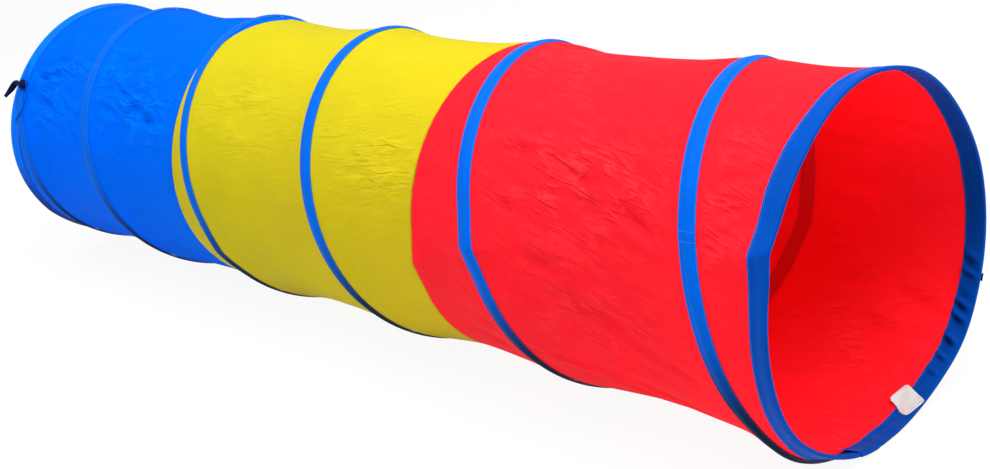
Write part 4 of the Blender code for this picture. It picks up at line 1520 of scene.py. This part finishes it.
class TUNNEL_OT_ties(Operator):
    """Make the knotted ties that hold the tunnel shut when it is pressed flat"""

    bl_idname = "tunnel.ties"
    bl_label = "Ties"

    def execute(self, context):
        tie = context.scene.tunnel_colours.tie
        ribbon = woven_tape("tie ribbon", tie, tuple(c * 0.6 for c in tie), 0.0008, (0.55, 0.7), 0.15)
        for end, side, turn, over, hang, lift in ties:
            angle = 2 * math.pi * turn
            out, up = surface_ways(angle)
            inward = np.array((-side, 0, 0))
            edge = straight_point(side * half_length, outer_radius + strap_rise, angle)
            knot_spot = straight_point(side * (half_length - knot_depth), flange_radius + knot_rise, angle)
            crown = edge - inward * over
            tip = crown - up * hang + out * lift
            path = [knot_spot + inward * -0.003, edge + inward * 0.0079, edge + inward * 0.002]
            path += [edge - inward * over * 0.55 + out * 0.0004, crown - up * hang * 0.3, tip]
            twist = smooth((np.linspace(0, 1, strap_steps) - 0.35) / 0.3)[:, None] * (hang > 0)
            outs = out - twist * (out - inward)
            route = rounded_path(path, strap_steps)
            strap = make_strap(f"{end}_tie_ribbon", route, outs, ribbon, 0.3 * (hang > 0))
            knot = make_knot(f"{end}_tie_bow", knot_spot, out, up, ribbon, 0.4 * side)
            for piece, node in ((strap, "strap"), (knot, "knot")):
                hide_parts(f"{end}_tie_{node}")
                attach(piece, f"{end}_end")
        return {"FINISHED"}


def loop_line(count):
    """The closing loop's route: from the far knot, bowed over the cloth and back to the binding."""
    s = np.linspace(0, 1, count)
    angle = 2 * math.pi * (loop_turns[0] + (loop_turns[1] - loop_turns[0]) * s)
    depth = loop_depths[0] + (loop_depths[1] - loop_depths[0]) * s + loop_bow * 4 * s * (1 - s)
    high = crest_radius + tape_thickness / 2 + layer_gap + loop_cord_diameter / 2
    low = flange_radius + tape_thickness * 1.5 + 2 * layer_gap + loop_cord_diameter / 2
    radius = high + (low - high) * smooth((s - 0.93) / 0.07)
    height = axis_height - radius * np.cos(angle)
    return np.stack((depth - half_length, -radius * np.sin(angle), height), axis=-1)


class TUNNEL_OT_loop(Operator):
    """Make the thin cord loop that closes round the far tie"""

    bl_idname = "tunnel.loop"
    bl_label = "Closing loop"

    def execute(self, context):
        colours = context.scene.tunnel_colours
        route = loop_line(30)
        sides = 11
        radius = loop_cord_diameter / 2

        def section(column, row):
            turn = 2 * math.pi * row / (sides - 1)
            braid = radius * (1 + 0.06 * np.sin(3 * turn + column * 2.1))
            return braid * np.cos(turn), braid * np.sin(turn), turn * radius, {"rim": 0 * turn + 0.01}

        mesh = swept_mesh("far_closing_loop", route, sides, section)
        close_ends(mesh)
        cord = woven_tape("cord braid", colours.binding, colours.binding, 0.0012, (0.5, 0.6), 0.05)
        piece = add_piece("far_closing_loop", mesh, cord)
        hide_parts("far_tie_loop")
        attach(piece, "far_end")
        line = settle(route)
        return {"FINISHED"}


class TUNNEL_OT_label(Operator):
    """Make the blank care label sewn at the mouth's edge"""

    bl_idname = "tunnel.label"
    bl_label = "Blank label"

    def execute(self, context):
        colours = context.scene.tunnel_colours
        wide, long, count = label_side * 0.97, label_side, 21
        reach = lining_radius - tape_thickness / 2 - label_thickness

        def spot(column, row):
            run, side = column / (count - 1), row / (count - 1) - 0.5
            corner = np.maximum(0, np.abs(side) - 0.40) / 0.10
            run = run * (1 - 0.05 * corner**2)
            rounded = 1 - 0.07 * np.abs(2 * side) ** 6
            side = side * (1 - 0.07 * np.abs(2 * run - 1) ** 6) + 0.05 * np.sin(6.28 * run) * (0.5 + side)
            run = (0.5 + (run - 0.5) * rounded) * (1 + 0.05 * run * (1 - 4 * side**2))
            depth = label_depth + long * run * math.cos(label_turn) + side * wide * math.sin(label_skew)
            curl = label_curl * np.clip((run - 0.35) / 0.65, 0, 1) ** 1.7
            wave = 0.0012 * np.sin(run * 5 + side * 4) * run * (1 - side)
            round_way = side * wide * math.cos(label_skew) + long * run * math.sin(label_turn)
            rim = np.minimum(np.minimum(run, 1 - run), 0.5 - np.abs(side)) * label_side
            shape = (half_length - depth, reach - curl - wave, label_angle + round_way / outer_radius)
            return shape, (run * label_side, side * label_side), {"rim": rim}

        mesh = mapped_mesh("blank_care_label", count, count, spot)
        piece = add_piece("blank_care_label", mesh, satin_label("white satin", colours.label))
        thicken(piece, label_thickness)
        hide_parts("care_label")
        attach(piece, "mouth_end")
        side = np.linspace(-0.016, 0.016, 30)
        x = half_length - label_row - side * math.sin(label_skew)
        angle = label_angle + (side * math.cos(label_skew) - 0.0015) / outer_radius
        points, out = line_on(x, reach - label_thickness, angle)
        rows = stitch_row(points, -out, *label_stitches, wander=0.05, seed=12)
        thread = add_stitches("label_stitches", rows, thread_finish())
        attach(thread, "mouth_end")
        return {"FINISHED"}


# Studio

class TUNNEL_OT_stage(Operator):
    """Set up the pale floor, the soft lights and the camera"""

    bl_idname = "tunnel.stage"
    bl_label = "Floor, lights and camera"

    def execute(self, context):
        scene, studio = context.scene, context.scene.tunnel_studio
        bm = bmesh.new()
        bmesh.ops.create_grid(bm, x_segments=8, y_segments=8, size=studio.floor_reach)
        bmesh.ops.translate(bm, verts=bm.verts[:], vec=(0, 0, min(0, cad_box[0][2]) - floor_gap))
        mesh = bpy.data.meshes.new("studio_floor")
        bm.to_mesh(mesh)
        bm.free()
        floor = add_piece("studio_floor", mesh, backdrop_paper("backdrop paper"))
        self.make_world(scene, studio)
        for name, at, size in softboxes:
            lamp = bpy.data.lights.new(f"{name}_softbox", "AREA")
            lamp.shape = "DISK"
            lamp.size = size
            lamp.energy = getattr(studio, f"{name}_power")
            light = bpy.data.objects.new(f"{name}_softbox", lamp)
            light.location = at
            aim = Vector(lit_spot) - Vector(at)
            light.rotation_euler = aim.to_track_quat("-Z", "Y").to_euler()
            scene.collection.objects.link(light)
        self.make_camera(scene, studio)
        scene.view_settings.view_transform = "Standard"
        return {"FINISHED"}

    def make_world(self, scene, studio):
        world = bpy.data.worlds.new("studio")
        scene.world = world
        world.use_nodes = True
        tree = world.node_tree
        tree.nodes.clear()
        level = add_node(tree, "ShaderNodeMix", {
            0: seen_directly(tree), 2: studio.sky_strength, 3: 1.0}, data_type="FLOAT")
        sky = add_node(tree, "ShaderNodeBackground", {"Color": (1, 1, 1, 1), "Strength": level.outputs[0]})
        leave = tree.nodes.new("ShaderNodeOutputWorld")
        tree.links.new(sky.outputs[0], leave.inputs["Surface"])

    def make_camera(self, scene, studio):
        yaw, pitch, roll = studio.camera_yaw, studio.camera_pitch, studio.camera_roll
        view = Vector((math.cos(yaw) * math.cos(pitch), math.sin(yaw) * math.cos(pitch), math.sin(pitch)))
        right = view.cross(Vector((0, 0, 1))).normalized()
        up = right.cross(view)
        rolled = right * math.cos(roll) + up * math.sin(roll)
        stood = up * math.cos(roll) - right * math.sin(roll)
        data = bpy.data.cameras.new("studio_camera")
        data.lens = studio.camera_lens
        data.sensor_width = 36
        data.sensor_fit = "HORIZONTAL"
        camera = bpy.data.objects.new("studio_camera", data)
        turned = Matrix((rolled, stood, -view)).transposed().to_4x4()
        camera.matrix_world = Matrix.Translation(studio.camera_place) @ turned
        scene.collection.objects.link(camera)
        scene.camera = camera


# Settings

def length_setting(name, description, default, low, high):
    return FloatProperty(
        name=name, description=description, default=default, min=low, max=high, unit="LENGTH")


def colour_setting(name, description, default):
    return FloatVectorProperty(
        name=name, description=description, default=default, min=0, max=1, size=3, subtype="COLOR")


def power_setting(name, description, default):
    return FloatProperty(name=name, description=description, default=default, min=0, max=500, unit="POWER")


class TunnelSizes(PropertyGroup):
    """Sizes of the tunnel's pieces, and where its creases fall"""

    casing_width: length_setting(
        "Casing width", "Width of the tape sewn over the coil", 0.025, 0.015, 0.04)
    binding_width: length_setting(
        "Binding width", "How far each end binding reaches along the tunnel", 0.028, 0.028, 0.04)
    tape_thickness: length_setting(
        "Tape thickness", "Thickness of the casing and binding tape", 0.0005, 0.0003, 0.0006)
    cloth_thickness: length_setting(
        "Cloth thickness", "Thickness of the panel cloth", 0.0003, 0.0001, 0.0006)
    cloth_sag: length_setting(
        "Cloth sag", "How far the cloth is drawn in midway between two turns of tape", 0.011, 0, 0.03)
    crease_depth: FloatProperty(
        name="Crease depth", description="Depth of the creases, as a multiple of their usual depth",
        default=1.0, min=0, max=2, subtype="FACTOR")
    crease_seed: IntProperty(
        name="Crease seed", description="Changes where the creases and puckers fall", default=41, min=0)
    side_seam_angle: FloatProperty(
        name="Side seam angle", description="Where the lengthwise seam runs, in degrees up the near side",
        default=30.0, min=-180, max=180)
    wire_diameter: length_setting(
        "Wire diameter", "Thickness of the spring wire", 0.0022, 0.001, 0.0026)
    stitch_length: length_setting(
        "Stitch length", "Length of one stitch", 0.0031, 0.002, 0.006)


class TunnelColours(PropertyGroup):
    """Colours of the cloth, tapes, thread, wire and label"""

    red_cloth: colour_setting("Red cloth", "Colour of the panel at the mouth", (0.95, 0.021, 0.040))
    yellow_cloth: colour_setting("Yellow cloth", "Colour of the middle panel", (0.71, 0.63, 0.016))
    blue_cloth: colour_setting("Blue cloth", "Colour of the far panel", (0.0, 0.170, 0.92))
    tape: colour_setting("Tape", "Colour of the casing tape", (0.0, 0.10, 0.56))
    # Painted shade: the mouth's binding is the same tape as the casing, made darker to stand in for its shade
    binding: colour_setting("Binding", "Colour of the mouth's binding and the cord", (0.0, 0.056, 0.35))
    # Painted light: the far binding is that same tape, made lighter to stand in for the light on it
    far_binding: colour_setting("Far binding", "Colour of the binding round the far end", (0.0, 0.14, 0.78))
    tape_edge: colour_setting("Tape edge", "Colour of the tape's woven edge", (0.0, 0.125, 0.60))
    thread: colour_setting("Thread", "Colour of the sewing thread on the tapes", (0.0, 0.15, 0.68))
    # Painted shade: the casing's thread inside is the same thread, made darker to stand in for the shade in
    # there
    bobbin_thread: colour_setting(
        "Bobbin thread", "Colour of the casing's thread on the inside", (0.01, 0.02, 0.12))
    tie: colour_setting("Tie ribbon", "Colour of the tie ribbon", (0.004, 0.008, 0.05))
    # A blue-green tint is painted into the white label to cancel the red light that the cloth throws onto it
    label: colour_setting("Label", "Colour of the blank label", (0.53, 0.65, 0.65))
    wire: colour_setting("Spring wire", "Colour of the spring wire", (0.46, 0.46, 0.47))
    sleeve: colour_setting("Crimped sleeve", "Colour of the crimped sleeves", (0.56, 0.56, 0.57))
    translucency: FloatProperty(
        name="Translucency", description="Share of the light that each face of the cloth lets through",
        default=0.47, min=0, max=1, subtype="FACTOR")


class TunnelStudio(PropertyGroup):
    """Camera, floor and lights"""

    camera_place: FloatVectorProperty(
        name="Camera place", description="Where the camera stands", subtype="TRANSLATION", size=3,
        default=(1.93180, -1.44200, 1.04546))
    camera_yaw: FloatProperty(
        name="Camera yaw", description="Heading of the camera's view, from +X towards +Y", subtype="ANGLE",
        default=2.44333)
    camera_pitch: FloatProperty(
        name="Camera pitch", description="How far the camera looks up", subtype="ANGLE", default=-0.37364)
    camera_roll: FloatProperty(
        name="Camera roll", description="Turn of the camera about its view", subtype="ANGLE",
        default=-0.18911)
    camera_lens: FloatProperty(
        name="Lens", description="Focal length of the camera", default=56.156, min=10, max=300,
        subtype="DISTANCE_CAMERA")
    floor_reach: FloatProperty(
        name="Floor reach", description="Half the width of the floor", default=9.0, min=2, max=30,
        unit="LENGTH")
    paper_white: FloatProperty(
        name="Paper white", description="How nearly the floor looks pure white to the camera", default=0.93,
        min=0, max=1, subtype="FACTOR")
    sky_strength: FloatProperty(
        name="Sky strength", description="Level of the even light from all round", default=0.17, min=0, max=3)
    overhead_power: power_setting("Overhead power", "Power of the softbox over the tunnel", 137)
    near_power: power_setting("Near power", "Power of the softbox on the near side", 18)
    mouth_power: power_setting("Mouth power", "Power of the softbox above and before the mouth", 125)


operators = (TUNNEL_OT_stage, TUNNEL_OT_loop, TUNNEL_OT_wire, TUNNEL_OT_casing, TUNNEL_OT_bindings,
             TUNNEL_OT_panels, TUNNEL_OT_stitching, TUNNEL_OT_ties, TUNNEL_OT_label)


class TUNNEL_PT_sidebar(Panel):
    """Lists the tunnel's pieces and settings in the 3D view's sidebar"""

    bl_idname = "TUNNEL_PT_sidebar"
    bl_label = "Play Tunnel"
    bl_space_type = "VIEW_3D"
    bl_region_type = "UI"
    bl_category = "Play Tunnel"

    def draw(self, context):
        for operator in operators:
            self.layout.operator(operator.bl_idname)
        scene = context.scene
        for settings in (scene.tunnel_sizes, scene.tunnel_colours, scene.tunnel_studio):
            box = self.layout.box()
            for name in settings.__annotations__:
                box.prop(settings, name)


classes = (TunnelSizes, TunnelColours, TunnelStudio, *operators, TUNNEL_PT_sidebar)


def register():
    for cls in classes:
        bpy.utils.register_class(cls)
    bpy.types.Scene.tunnel_sizes = PointerProperty(type=TunnelSizes)
    bpy.types.Scene.tunnel_colours = PointerProperty(type=TunnelColours)
    bpy.types.Scene.tunnel_studio = PointerProperty(type=TunnelStudio)


def unregister():
    del bpy.types.Scene.tunnel_studio
    del bpy.types.Scene.tunnel_colours
    del bpy.types.Scene.tunnel_sizes
    for cls in reversed(classes):
        bpy.utils.unregister_class(cls)


def main():
    register()
    bpy.ops.tunnel.stage()
    bpy.ops.tunnel.loop()
    bpy.ops.tunnel.wire()
    bpy.ops.tunnel.casing()
    bpy.ops.tunnel.bindings()
    bpy.ops.tunnel.panels()
    bpy.ops.tunnel.stitching()
    bpy.ops.tunnel.ties()
    bpy.ops.tunnel.label()


if __name__ == "__main__":
    main()
